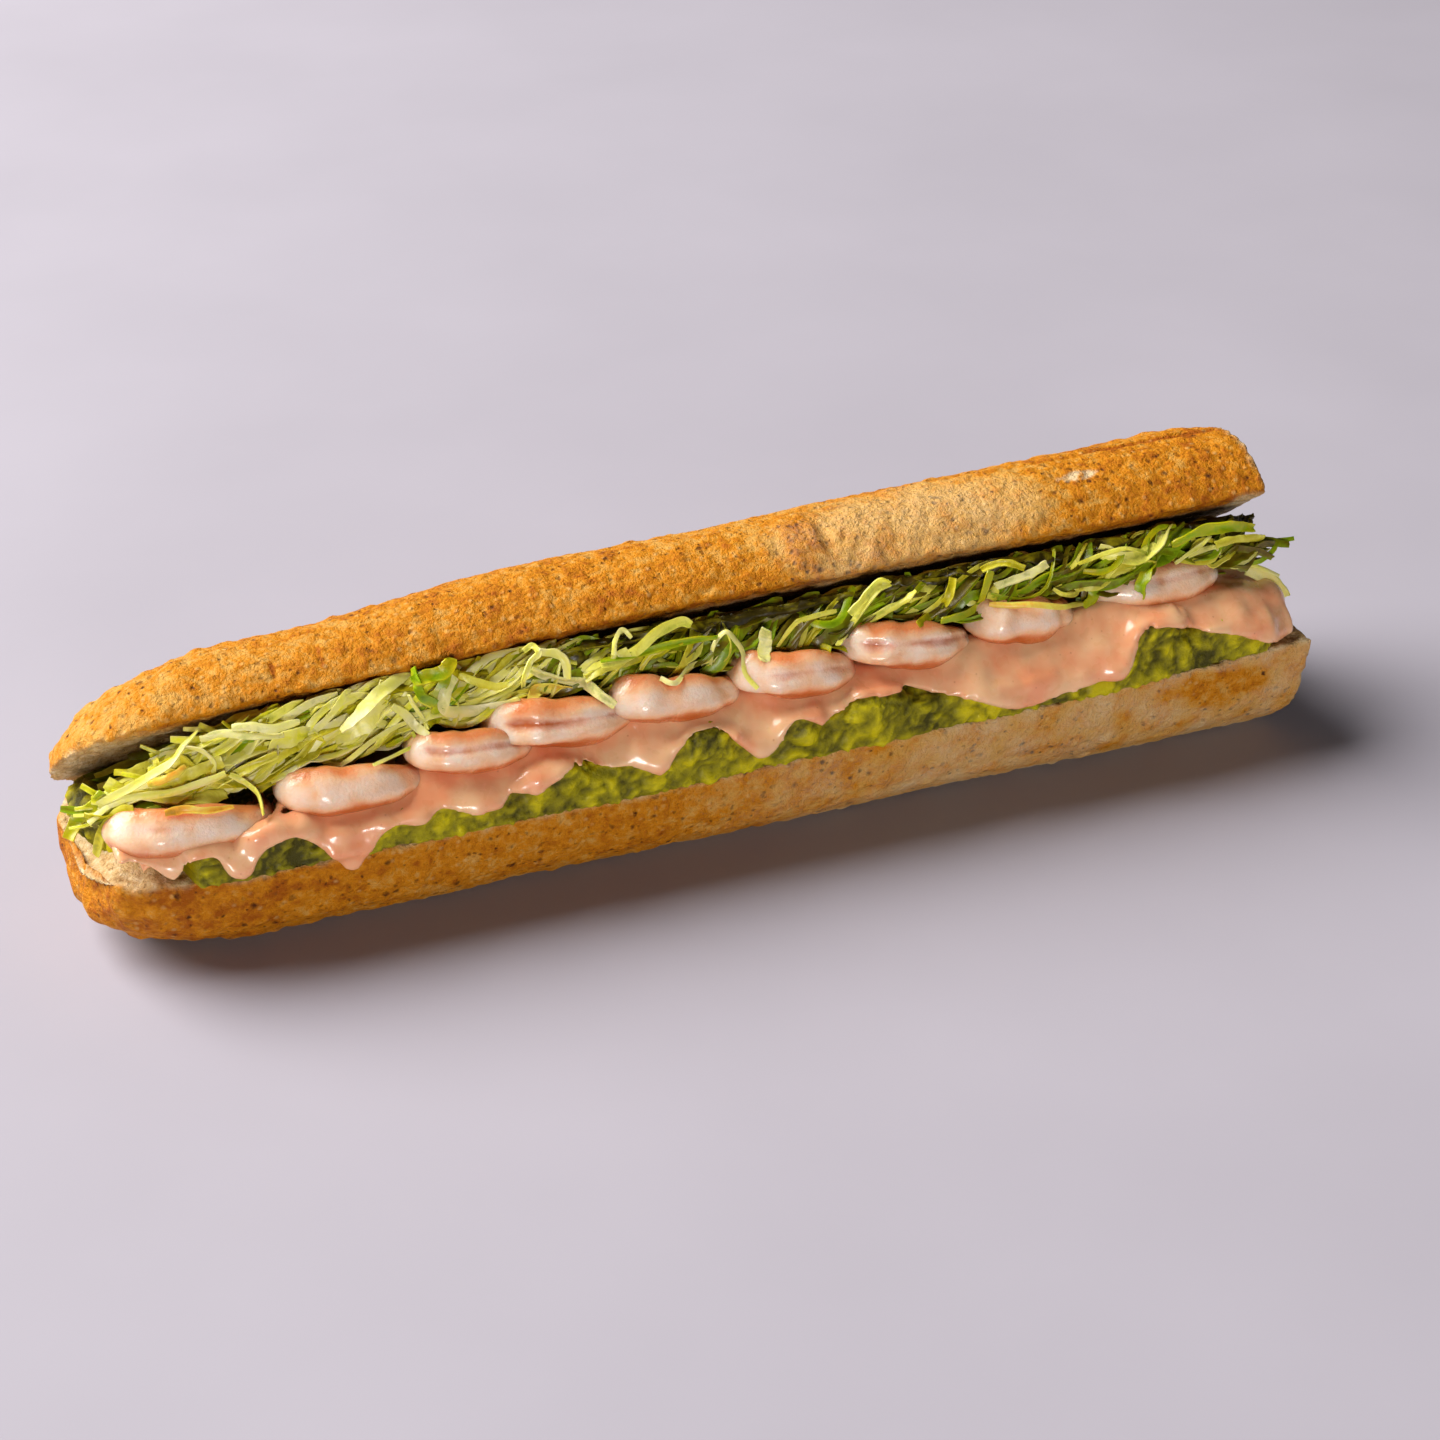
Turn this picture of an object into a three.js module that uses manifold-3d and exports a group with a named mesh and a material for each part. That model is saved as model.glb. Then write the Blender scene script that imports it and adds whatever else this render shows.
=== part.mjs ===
// Shrimp and avocado sandwich: half a long wholegrain loaf, split and opened towards the front,
// filled with mashed avocado, pink sauce, a row of shrimps and shredded lettuce.
// Millimetres, +Z up. X runs along the loaf from its natural end (-X) to its cut end (+X),
// and the open side faces -Y. The origin is under the middle of the bounding box.
// Lists of heights, widths and angles are read at even steps from the natural end to the cut end.
import * as THREE from 'three';
import { ImprovedNoise } from 'three/addons/math/ImprovedNoise.js';
import { mergeVertices } from 'three/addons/utils/BufferGeometryUtils.js';
import Module from 'manifold-3d';

const wasm = await Module();
wasm.setup();

const CLEARANCE = 0.3; // left between pieces that touch

// Lower half of the loaf
const LOWER = {
  start: -152,
  end: 155,
  cutHeights: [21, 23, 25.4, 27, 27.8, 29, 31.5],
  halfWidths: [28, 30, 30, 30, 30, 30, 30],
  roundedLength: 21,
  roundness: 2.4,
  tipLift: 0.6, // the share of its depth that the tip has lost
  sideFullness: 2.3,
  soleFullness: 2.5,
  soleSink: 1.6, // how far the rounded underside would reach below the floor, which sets the flat sole
  endSkew: 0.06, // how far the cut end runs on for each millimetre towards the back
  swelling: 0.9,
};

// Upper half of the loaf, turned up about its back edge
const UPPER = {
  start: -152,
  end: 147,
  hingeY: 28.5,
  hingeLift: 0.6,
  openings: [41, 41, 41, 41, 41, 40, 39],
  halfWidths: [27, 28, 28.5, 28.5, 28.5, 28.5, 28],
  domes: [18.5, 20.5, 22, 22.6, 24, 24.6, 24],
  slopingLength: 40,
  narrowingLength: 26, // seen from above
  fullness: 2.2,
  swelling: 1.3,
  bow: 1.2,
};

// Mashed avocado, spread on the lower half
const AVOCADO = {
  start: -144,
  end: 148,
  front: -31.6,
  back: 11,
  thicknesses: [8.5, 9.8, 12, 12.8, 12.4, 12.6, 11],
  startLength: 16,
  endLength: 12,
  fullness: 3,
  lumpLength: 14,
  lump: 0.9,
};

// Sauce, poured over the avocado. Its width is measured from the avocado's crown over the front
const SAUCE = {
  start: -139,
  end: 152,
  width: 27,
  thickness: 2.8,
  startLength: 12,
  endLength: 9,
  ripple: 1.2,
};

// Where the sauce's front edge hangs lower than elsewhere, or less low where the drop is negative
const FOLDS = [
  { x: -134, width: 9, drop: 4.5 },
  { x: -117, width: 12, drop: 6.5 },
  { x: -93, width: 17, drop: 9.5 },
  { x: -72, width: 12, drop: 2 },
  { x: -42, width: 14, drop: -3.5 },
  { x: -22, width: 14, drop: 1.5 },
  { x: 3, width: 14, drop: 5 },
  { x: 22, width: 10, drop: 3 },
  { x: 35, width: 13, drop: -5 },
  { x: 64, width: 30, drop: 5 },
  { x: 88, width: 22, drop: 4.5 },
  { x: 118, width: 34, drop: -11 },
  { x: 144, width: 16, drop: 2.5 },
];

// Shrimps from left to right: the middle of each curl along the loaf, the foremost reach of its curved
// back, how long it lies, its thickness, how deep it lies in the sauce, and its turns in degrees
const SHRIMPS = [
  { x: -124, front: -31.5, length: 42, thickness: 11, sink: 1, yaw: -4, roll: 4 },
  { x: -88, front: -31, length: 37, thickness: 10.4, sink: 0.6, yaw: 2, roll: 6 },
  { x: -60, front: -30.5, length: 33, thickness: 10, sink: 0.3, yaw: 0, roll: 7 },
  { x: -37, front: -30.5, length: 40, thickness: 11.6, sink: 0.8, yaw: 3, roll: 7 },
  { x: -10, front: -30, length: 37, thickness: 10.6, sink: 0.4, yaw: -2, roll: 7 },
  { x: 20, front: -29.5, length: 35, thickness: 11.6, sink: 1, yaw: 4, roll: 6 },
  { x: 50, front: -29, length: 38, thickness: 12, sink: 0.8, yaw: 2, roll: 7 },
  { x: 80, front: -27.5, length: 32, thickness: 12.4, sink: 1.2, yaw: -6, roll: 5 },
  { x: 118, front: -25.5, length: 41, thickness: 11.4, sink: 0.4, yaw: 3, roll: 6 },
];
const SHRIMP_GIRTHS = [0.62, 0.94, 1, 0.96, 0.86, 0.7, 0.5, 0.3]; // from head to tail
const SHRIMP_ARC = { head: 205, tail: -35, depth: 0.72, height: 0.94 };
const SHRIMP_GROOVE = { depth: 0.16, at: 0.75, width: 0.3 };
const SHRIMP_BED = 0.42; // a share of the line that the sauce runs down

// Shredded lettuce, heaped behind the shrimps
const LETTUCE = {
  start: -149,
  end: 148,
  face: -19.5,
  back: 25,
  heights: [13, 27, 31, 31, 31, 31, 29],
  slopeStart: -2, // where its underside starts down behind the avocado
  startLength: 14,
  endLength: 10,
  sideFullness: 2.6,
  topFullness: 4.5,
  baseFullness: 6,
  lump: 2.2,
};

const noise = new ImprovedNoise();
const radians = THREE.MathUtils.degToRad;
const { clamp, lerp } = THREE.MathUtils;

// A smooth curve through values at even steps, read with a share from 0 to 1
function profile(values) {
  const last = values.length - 1;
  const curve = new THREE.SplineCurve(values.map((value, index) => new THREE.Vector2(index / last, value)));
  return (share) => curve.getPoint(clamp(share, 0, 1)).y;
}

// The same curve read at a place along the loaf
function alongLoaf(values) {
  const valueAt = profile(values);
  return (x) => valueAt((x - LOWER.start) / (LOWER.end - LOWER.start));
}

const cutHeightAt = alongLoaf(LOWER.cutHeights);
const openingAt = alongLoaf(UPPER.openings.map(radians));
const avocadoThicknessAt = alongLoaf(AVOCADO.thicknesses);

// The crown of the mashed avocado above the floor
const avocadoTopAt = (x) => cutHeightAt(x) + avocadoThicknessAt(x);

// A cosine or sine bent from a circle's (fullness 2) to a rounded square's (fullness above 2)
const squared = (value, fullness) => Math.sign(value) * Math.abs(value) ** (2 / fullness);

// How full a rounded end is at a distance from its tip
function roundedEnd(distance, length, roundness = 2) {
  const rest = 1 - clamp(distance / length, 0, 1);
  return (1 - rest ** roundness) ** (1 / roundness);
}

// How full a layer rounded at both ends is. Its end faces stay a little open
function roundedEnds(x, { start, end, startLength, endLength }) {
  const open = 1.4;
  return Math.min(roundedEnd(x - start + open, startLength), roundedEnd(end - x + open, endLength));
}

// Which end face a station along a body is in: -1 at the first, 1 at the last, 0 between them
const endOf = (share) => (share === 1) - (share === 0);

// The stations of a loaf half lie closer together near its rounded natural end
function crowdedStation(share, { start, end }) {
  const crowding = 1.35;
  return start + (end - start) * share ** crowding;
}

function barePositions(geometry) {
  geometry.deleteAttribute('normal');
  geometry.deleteAttribute('uv');
  return mergeVertices(geometry);
}

// A closed body along X, whose surface is place(share, front, up, spoke): share runs from its first end
// to its last, front and up are the cosine and sine of the angle round the section, from the front (-Y)
// up to +Z, and spoke is 1 on the outline and 0 in the middle of the end faces
function bodyAlong(steps, sides, place) {
  const geometry = barePositions(new THREE.CylinderGeometry(1, 1, 1, sides, steps));
  const positions = geometry.attributes.position;
  const halfHeight = 0.5;
  for (let index = 0; index < positions.count; index += 1) {
    const [front, up] = [positions.getX(index), positions.getZ(index)];
    const share = positions.getY(index) + halfHeight;
    const point = place(share, front, up, Math.round(Math.hypot(front, up)));
    positions.setXYZ(index, point.x, point.y, point.z);
  }
  return geometry;
}

function solidOf(geometry) {
  const vertProperties = new Float32Array(geometry.attributes.position.array);
  const triVerts = new Uint32Array(geometry.index.array);
  return new wasm.Manifold(new wasm.Mesh({ numProp: 3, vertProperties, triVerts }));
}

function geometryOf(solid) {
  const { vertProperties, triVerts } = solid.getMesh();
  const geometry = new THREE.BufferGeometry();
  geometry.setAttribute('position', new THREE.Float32BufferAttribute(vertProperties, 3));
  geometry.setIndex(new THREE.Uint32BufferAttribute(triVerts, 1));
  return geometry;
}

// Cuts the neighbours away and keeps the largest piece of what is left
function cutBy(solid, neighbours) {
  const rest = neighbours.reduce((body, neighbour) => body.subtract(neighbour), solid);
  return rest.decompose().reduce((largest, piece) => (piece.volume() > largest.volume() ? piece : largest));
}

// A body that is grown is larger all round, to cut room for itself out of its neighbours
function lowerHalf(grow = 0) {
  const halfWidthAt = alongLoaf(LOWER.halfWidths);
  const tip = 0.7;
  const place = (share, front, up, spoke) => {
    const x = crowdedStation(share, LOWER);
    const fullness = roundedEnd(x - LOWER.start + tip, LOWER.roundedLength, LOWER.roundness);
    const height = cutHeightAt(x);
    const depth = (height + LOWER.soleSink) * (1 - LOWER.tipLift * (1 - fullness)) + grow;
    const swelling = up < 0 ? noise.noise(x / 23, up * 1.5, 4.2) * LOWER.swelling * up : 0;
    const reach = halfWidthAt(x) * fullness + grow - swelling;
    const y = -squared(front, LOWER.sideFullness) * reach * spoke;
    const crust = Math.max(-grow, height + depth * squared(up, LOWER.soleFullness) * spoke);
    const skewed = share === 1 ? LOWER.endSkew * (y + LOWER.halfWidths[0]) : 0;
    return new THREE.Vector3(x + skewed + endOf(share) * grow, y, up < 0 ? crust : height + grow);
  };
  return solidOf(bodyAlong(27, 20, place));
}

// A point of the upper half, given forward of the hinge and above the cut face on the closed loaf
function turnedUp(x, forward, above) {
  const hinge = new THREE.Vector3(x, UPPER.hingeY, cutHeightAt(x) + UPPER.hingeLift);
  const point = new THREE.Vector3(0, -forward, above);
  return point.applyAxisAngle(new THREE.Vector3(-1, 0, 0), openingAt(x)).add(hinge);
}

function upperHalf() {
  const halfWidthAt = alongLoaf(UPPER.halfWidths);
  const domeAt = alongLoaf(UPPER.domes);
  const tip = 0.8;
  const place = (share, front, up, spoke) => {
    const x = crowdedStation(share, UPPER);
    const narrow = roundedEnd(x - UPPER.start + tip, UPPER.narrowingLength);
    const low = roundedEnd(x - UPPER.start + tip, UPPER.slopingLength);
    const bow = noise.noise(x / 60, 0.5, 7.7) * UPPER.bow;
    const swelling = noise.noise(x / 19, up * 1.5, 2.7) * UPPER.swelling;
    const dome = (domeAt(x) + bow + swelling) * low;
    const across = squared(front, UPPER.fullness) * halfWidthAt(x) * narrow;
    const above = up > 0 ? dome * squared(up, UPPER.fullness) : 0;
    return turnedUp(x, halfWidthAt(x) + across * spoke, above * spoke);
  };
  return solidOf(bodyAlong(27, 20, place));
}

// The height of the upper half's cut face above the floor
function ceilingAt(x, y) {
  return cutHeightAt(x) + UPPER.hingeLift + (UPPER.hingeY - y) * Math.tan(openingAt(x));
}

// A point of the outline of the avocado's section, as y and z
function avocadoOutline(x, front, up, grow = 0) {
  const fullness = roundedEnds(x, AVOCADO);
  const lump = noise.noise(x / AVOCADO.lumpLength, up * 1.3, 1.4) * AVOCADO.lump;
  const middle = (AVOCADO.front + AVOCADO.back) / 2;
  const reach = (AVOCADO.back - middle) * lerp(0.35, 1, fullness) + lump + grow;
  const height = avocadoThicknessAt(x) * lerp(0.55, 1, fullness) + lump + grow;
  const y = middle - squared(front, AVOCADO.fullness) * reach;
  return new THREE.Vector2(y, cutHeightAt(x) + CLEARANCE + squared(up, AVOCADO.fullness) * height);
}

function avocadoMash(grow = 0) {
  const place = (share, front, up, spoke) => {
    const x = lerp(AVOCADO.start, AVOCADO.end, share);
    const outline = avocadoOutline(x, front, Math.max(0, up), grow);
    const y = spoke ? outline.x : (AVOCADO.front + AVOCADO.back) / 2;
    const base = cutHeightAt(x) + CLEARANCE - grow;
    return new THREE.Vector3(x + endOf(share) * grow, y, up > 0 ? outline.y : base);
  };
  return solidOf(bodyAlong(38, 12, place));
}

// The line that the sauce runs down: from the avocado's crown over its front, then before the crust
function runDown(x) {
  const angles = [100, 80, 62, 46, 33, 20, 8].map(radians);
  const over = angles.map((angle) => avocadoOutline(x, Math.cos(angle), Math.sin(angle)));
  const below = [1, 5, 9].map((drop) => new THREE.Vector2(AVOCADO.front - 0.4, cutHeightAt(x) - drop));
  return new THREE.SplineCurve([...over, ...below]);
}

// How far the sauce reaches down that line
function sauceReach(x) {
  const steepness = 5;
  const foldAt = ({ x: middle, width, drop }) => drop * Math.exp(-steepness * ((x - middle) / width) ** 2);
  const folds = FOLDS.reduce((sum, fold) => sum + foldAt(fold), 0);
  return SAUCE.width + folds + noise.noise(x / 7, 0.5, 6.6) * SAUCE.ripple;
}

function sauceLayer() {
  const place = (share, front, up, spoke) => {
    const x = lerp(SAUCE.start, SAUCE.end, share);
    const fullness = roundedEnds(x, SAUCE);
    const line = runDown(x);
    const travelled = (sauceReach(x) / 2) * (1 + front * lerp(0.4, 1, fullness));
    const position = clamp(travelled / line.getLength(), 0, 1);
    const point = line.getPointAt(position);
    const heading = line.getTangentAt(position);
    const swelling = 1 + noise.noise(x / 16, up, 3.3) * 0.3;
    const thickness = SAUCE.thickness * swelling * lerp(0.5, 1, fullness);
    const offset = (up > 0 ? thickness * up ** 0.6 : up) * spoke;
    return new THREE.Vector3(x, point.x + heading.y * offset, point.y - heading.x * offset);
  };
  return solidOf(bodyAlong(52, 10, place));
}

// A shrimp lies on its side, curled like a C whose grooved back faces the front, head end to the left
function shrimp({ x, front, length, thickness, sink, yaw, roll }, grow = 0) {
  const girthAt = profile(SHRIMP_GIRTHS);
  const bend = (length - thickness) / 2;
  const place = (share, outwards, up, spoke) => {
    const angle = radians(lerp(SHRIMP_ARC.head, SHRIMP_ARC.tail, share));
    const direction = new THREE.Vector3(Math.cos(angle), -Math.sin(angle), 0);
    const ahead = new THREE.Vector3(Math.sin(angle), Math.cos(angle), 0);
    const radius = ((thickness / 2) * girthAt(share) + grow) * spoke;
    const groove = Math.exp(-(((outwards - SHRIMP_GROOVE.at) / SHRIMP_GROOVE.width) ** 2));
    const pinched = up > 0 ? 1 - SHRIMP_GROOVE.depth * groove : 1;
    const centre = new THREE.Vector3(bend * direction.x, bend * SHRIMP_ARC.depth * direction.y, 0);
    centre.z = up * radius * SHRIMP_ARC.height;
    centre.addScaledVector(direction, outwards * radius * pinched);
    return centre.addScaledVector(ahead, endOf(share) * grow);
  };
  const geometry = bodyAlong(9, 10, place);
  geometry.rotateZ(radians(yaw));
  geometry.rotateY(radians(roll));
  const bed = runDown(x).getPointAt(SHRIMP_BED).y + SAUCE.thickness;
  geometry.translate(x, front + thickness / 2 + bend * SHRIMP_ARC.depth, bed + thickness / 2 - sink);
  return solidOf(geometry);
}

// The lettuce lies on the sauce at the front, and slopes down behind the avocado to the cut face
function lettuceFloorAt(x, y) {
  const front = avocadoTopAt(x) + SAUCE.thickness * 1.7 + CLEARANCE;
  const back = cutHeightAt(x) + CLEARANCE * 2;
  return lerp(front, back, clamp((y - LETTUCE.slopeStart) / (LETTUCE.back - LETTUCE.slopeStart), 0, 1));
}

function lettuceHeap() {
  const heightAt = alongLoaf(LETTUCE.heights);
  const middle = (LETTUCE.face + LETTUCE.back) / 2;
  const place = (share, front, up, spoke) => {
    const x = lerp(LETTUCE.start, LETTUCE.end, share);
    const lump = noise.noise(x / 10, up * 2, 8.8) * LETTUCE.lump;
    const halfWidth = (LETTUCE.back - middle) * lerp(0.5, 1, roundedEnds(x, LETTUCE));
    const reach = halfWidth * squared(front, LETTUCE.sideFullness) + lump * Math.max(0, front);
    const y = middle - reach * spoke;
    const floor = lettuceFloorAt(x, y);
    const room = ceilingAt(x, y) - CLEARANCE / Math.cos(openingAt(x)) - floor;
    const height = Math.min(heightAt(x) + lump, room);
    const rise = squared(up, up > 0 ? LETTUCE.topFullness : LETTUCE.baseFullness) * spoke;
    return new THREE.Vector3(x, y, floor + (height / 2) * (1 + rise));
  };
  return solidOf(bodyAlong(28, 12, place));
}

function named(name, solid, color, roughness) {
  const material = new THREE.MeshStandardMaterial({ color, roughness, metalness: 0 });
  const mesh = new THREE.Mesh(geometryOf(solid), material);
  mesh.name = name;
  return mesh;
}

const shrimpRooms = SHRIMPS.map((sizes) => shrimp(sizes, CLEARANCE));
const shrimps = SHRIMPS.map((sizes, index) => cutBy(shrimp(sizes), shrimpRooms.slice(index + 1, index + 2)));
const avocadoRoom = avocadoMash(CLEARANCE * 1.5);

const sandwich = new THREE.Group();
sandwich.add(named('bread_bottom', lowerHalf(), 0xc08040, 0.75));
sandwich.add(named('bread_top', upperHalf(), 0xb8722e, 0.75));
sandwich.add(named('avocado_mash', cutBy(avocadoMash(), shrimpRooms), 0x7a9a2c, 0.45));
const sauce = cutBy(sauceLayer(), [lowerHalf(CLEARANCE), avocadoRoom, ...shrimpRooms]);
sandwich.add(named('cocktail_sauce', sauce, 0xe0926f, 0.3));
shrimps.forEach((solid, index) => sandwich.add(named(`shrimp_${index + 1}`, solid, 0xe8b8a4, 0.35)));
sandwich.add(named('lettuce_heap', cutBy(lettuceHeap(), shrimpRooms), 0xa6c44a, 0.5));

// The origin goes under the middle of the bounding box
const box = new THREE.Box3().setFromObject(sandwich);
const middleOfBox = box.getCenter(new THREE.Vector3());
sandwich.position.set(-middleOfBox.x, -middleOfBox.y, -box.min.z);

export default sandwich;
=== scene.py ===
import math
import random

import bmesh
import bpy
from bpy.props import FloatProperty, FloatVectorProperty, IntProperty, PointerProperty
from mathutils import Matrix, Quaternion, Vector, noise
from mathutils.bvhtree import BVHTree


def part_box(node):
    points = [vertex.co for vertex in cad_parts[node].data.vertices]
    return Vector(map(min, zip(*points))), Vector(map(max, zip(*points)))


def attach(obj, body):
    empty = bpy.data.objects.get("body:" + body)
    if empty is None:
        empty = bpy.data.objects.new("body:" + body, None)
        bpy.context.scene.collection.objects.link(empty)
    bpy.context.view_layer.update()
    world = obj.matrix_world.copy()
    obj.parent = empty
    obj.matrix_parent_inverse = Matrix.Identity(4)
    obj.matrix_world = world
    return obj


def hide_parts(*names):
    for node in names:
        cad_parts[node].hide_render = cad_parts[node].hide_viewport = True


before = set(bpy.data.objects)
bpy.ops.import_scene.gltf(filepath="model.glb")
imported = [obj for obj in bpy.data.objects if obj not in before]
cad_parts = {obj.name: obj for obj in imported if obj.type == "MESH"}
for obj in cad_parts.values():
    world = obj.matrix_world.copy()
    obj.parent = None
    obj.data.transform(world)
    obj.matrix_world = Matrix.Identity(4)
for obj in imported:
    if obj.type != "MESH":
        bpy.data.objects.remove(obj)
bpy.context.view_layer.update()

bl_info = {
    "name": "Shrimp and Avocado Baguette",
    "version": (1, 0, 0),
    "blender": (4, 5, 0),
    "location": "View3D > Sidebar > Baguette",
    "description": "Wholegrain baguette opened to the front, filled with avocado, sauce, shrimps and lettuce",
    "category": "Add Mesh",
}

MM = 0.001
SHRIMP_NAMES = ["shrimp_%d" % (place + 1) for place in range(9)]
SHRIMP_SEED = 11
LETTUCE_SEED = 23

# Where the broad side of a shred faces: forwards, up and a little to the left
LEAF_FACING = Vector((-0.31, -0.80, 0.51))

# Middle of the picture, in mm
CAMERA_TARGET = (4.21, -0.8, 23.47)

# Front of the body of the sauce, behind its falling sheet, in mm
SAUCE_FRONT = -24.5

# Shreds that lie where the eye finds them: kind, width, and the points that they run through, in mm
PLACED_SHREDS = (
    ("deep", 4.2, ((-138, 4, 42), (-134, 3, 43), (-129, 2, 44), (-123, 1, 45))),
    ("cream", 2.6, ((-149, -18, 44), (-142, -20, 48), (-133, -20, 52), (-129, -17, 54), (-125, -15, 56))),
    ("cream", 2.2, ((-149, -18, 43), (-142, -21, 46), (-134, -22, 46), (-126, -22, 47), (-121, -22, 48))),
    ("warm", 2.9, ((-136, -27, 44), (-132, -27, 44), (-127, -28, 43), (-121, -27, 42))),
    ("warm", 2.4, ((-138, -20, 48), (-136, -20, 48), (-132, -20, 49), (-129, -19, 50))),
    ("white", 2.2, ((-125, -17, 55), (-120, -18, 56), (-114, -20, 55), (-107, -20, 54))),
    ("white", 2.7, ((-118, -18, 57), (-114, -19, 57), (-109, -20, 56), (-103, -19, 56))),
    ("leaf", 3.4, ((-133, -20, 47), (-130, -20, 48), (-126, -20, 49), (-121, -20, 50))),
    ("cream", 1.4, ((-129, -17, 54), (-125, -19, 53), (-123, -20, 50), (-124, -20, 46))),
    ("leaf", 2.4, ((-123, -20, 44), (-119, -20, 46), (-115, -21, 48), (-109, -21, 50))),
    ("cream", 1.9, ((-120, -21, 47), (-117, -22, 45), (-115, -25, 43), (-115, -29, 40))),
    ("leaf", 2.9, ((-114, -21, 42), (-108, -20, 44), (-104, -21, 46), (-99, -19, 48))),
    ("green", 3.4, ((-147, -17, 46), (-150, -17, 43), (-153, -15, 40), (-156, -17, 36))),
    ("leaf", 2.9, ((-142, -23, 44), (-145, -21, 43), (-149, -20, 38), (-151, -19, 32))),
    ("cream", 4.2, ((-94, -20, 52), (-90, -20, 55), (-85, -19, 59), (-76, -13, 60))),
    ("white", 2.9, ((-82, -20, 56), (-79, -20, 53), (-77, -21, 50), (-75, -24, 49))),
    ("cream", 1.4, ((-78, -20, 58), (-77, -20, 55), (-75, -20, 51), (-75, -23, 50))),
    ("cream", 1.1, ((-78, -21, 49), (-78, -23, 47), (-82, -24, 46), (-89, -27, 46))),
    ("green", 3.9, ((-67, -17, 64), (-69, -19, 62), (-73, -19, 61), (-77, -20, 61))),
    ("green", 3.1, ((-76, -17, 63), (-76, -20, 60), (-75, -20, 57), (-72, -21, 55))),
    ("green", 2.7, ((-67, -17, 63), (-70, -20, 59), (-73, -20, 56), (-75, -20, 57))),
    ("green", 2.9, ((-71, -21, 54), (-72, -20, 52), (-72, -20, 50), (-74, -22, 50))),
    ("white", 3.6, ((-67, -19, 60), (-70, -21, 57), (-70, -21, 53), (-65, -20, 51),
        (-57, -21, 51), (-53, -23, 53))),
    ("cream", 1.9, ((-51, -18, 52), (-51, -20, 57), (-49, -19, 60), (-47, -19, 62),
        (-48, -17, 63), (-50, -17, 62))),
    ("white", 3.6, ((-49, -19, 58), (-43, -20, 55), (-37, -21, 53), (-35, -26, 52), (-32, -28, 50))),
    ("cream", 2.7, ((-47, -19, 62), (-43, -19, 61), (-41, -20, 59), (-41, -21, 55))),
    ("pale", 1.2, ((-29, -20, 61), (-30, -21, 58), (-33, -21, 56), (-37, -21, 55))),
    ("pale", 3.9, ((-37, -21, 54), (-34, -21, 56), (-30, -21, 57), (-26, -21, 59))),
    ("warm", 3.9, ((-51, -24, 52), (-48, -20, 53), (-44, -20, 53), (-40, -20, 52))),
    ("pale", 2.2, ((-66, -19, 60), (-62, -20, 58), (-58, -20, 56), (-55, -20, 56))),
    ("pale", 2.9, ((-33, -21, 57), (-26, -21, 58), (-19, -20, 62), (-13, -19, 63), (-10, -19, 62))),
    ("cream", 1.4, ((-30, -21, 59), (-29, -20, 62), (-27, -19, 64), (-25, -20, 62))),
    ("green", 1.9, ((-33, -21, 58), (-24, -21, 58), (-15, -21, 59), (-9, -21, 59), (-4, -20, 58))),
    ("leaf", 1.4, ((-24, -21, 53), (-21, -21, 57), (-18, -21, 58), (-13, -21, 59))),
    ("cream", 1.7, ((-6, -20, 50), (-5, -20, 56), (-2, -20, 59), (0, -21, 57), (2, -21, 53),
        (1, -25, 50), (3, -28, 47))),
    ("white", 4.3, ((6, -25, 52), (7, -22, 53), (8, -20, 55), (8, -21, 58))),
    ("pale", 1.4, ((11, -20, 52), (15, -21, 58), (18, -21, 59), (26, -20, 59))),
    ("green", 2.4, ((15, -20, 51), (18, -20, 51), (21, -20, 51), (23, -24, 51))),
    ("cream", 2.2, ((25, -24, 52), (29, -20, 53), (31, -21, 57), (36, -20, 62), (40, -19, 63))),
    ("cream", 1.7, ((-20, -25, 53), (-17, -27, 52), (-11, -21, 52), (-6, -20, 52))),
    ("pale", 2.2, ((29, -21, 58), (33, -20, 61), (37, -19, 64), (40, -19, 63))),
    ("pale", 2.2, ((32, -20, 54), (38, -21, 57), (43, -21, 59), (46, -21, 61))),
    ("leaf", 2.4, ((45, -25, 54), (52, -20, 54), (54, -22, 58), (56, -20, 62))),
    ("green", 2.2, ((51, -25, 54), (57, -23, 53), (63, -20, 53), (64, -21, 57), (66, -20, 62))),
    ("white", 2.9, ((67, -21, 58), (73, -21, 59), (77, -21, 60), (81, -20, 61))),
    ("leaf", 1.9, ((64, -19, 62), (68, -19, 63), (71, -20, 63), (75, -20, 61))),
    ("pale", 1.9, ((73, -21, 54), (78, -20, 54), (81, -20, 53), (85, -21, 55))),
    ("pale", 1.4, ((82, -22, 55), (84, -24, 54), (89, -21, 52), (89, -20, 54))),
    ("warm", 1.9, ((65, -22, 54), (69, -24, 54), (75, -26, 54), (83, -26, 52), (91, -21, 49))),
    ("green", 3.4, ((91, -22, 48), (94, -21, 50), (95, -20, 53), (98, -21, 57))),
    ("green", 3.6, ((105, -24, 49), (105, -24, 52), (107, -23, 55), (110, -20, 56))),
    ("cream", 1.7, ((98, -19, 49), (100, -20, 54), (106, -21, 56), (114, -19, 54), (121, -20, 56),
        (127, -20, 57), (129, -20, 55))),
    ("green", 3.4, ((115, -20, 60), (123, -20, 62), (131, -20, 62), (139, -18, 59))),
    ("leaf", 2.2, ((127, -21, 58), (132, -20, 58), (137, -19, 57), (143, -17, 55))),
    ("cream", 1.2, ((129, -20, 54), (137, -18, 50), (143, -18, 47), (148, -18, 44))),
    ("white", 4.8, ((139, -17, 47), (143, -17, 45), (147, -17, 42), (151, -17, 37))),
    ("pale", 1.4, ((89, -21, 60), (98, -20, 61), (103, -20, 61), (108, -20, 59))),
    ("leaf", 1.9, ((121, -20, 54), (127, -19, 53), (138, -14, 47), (143, -16, 45))),
)

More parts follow.
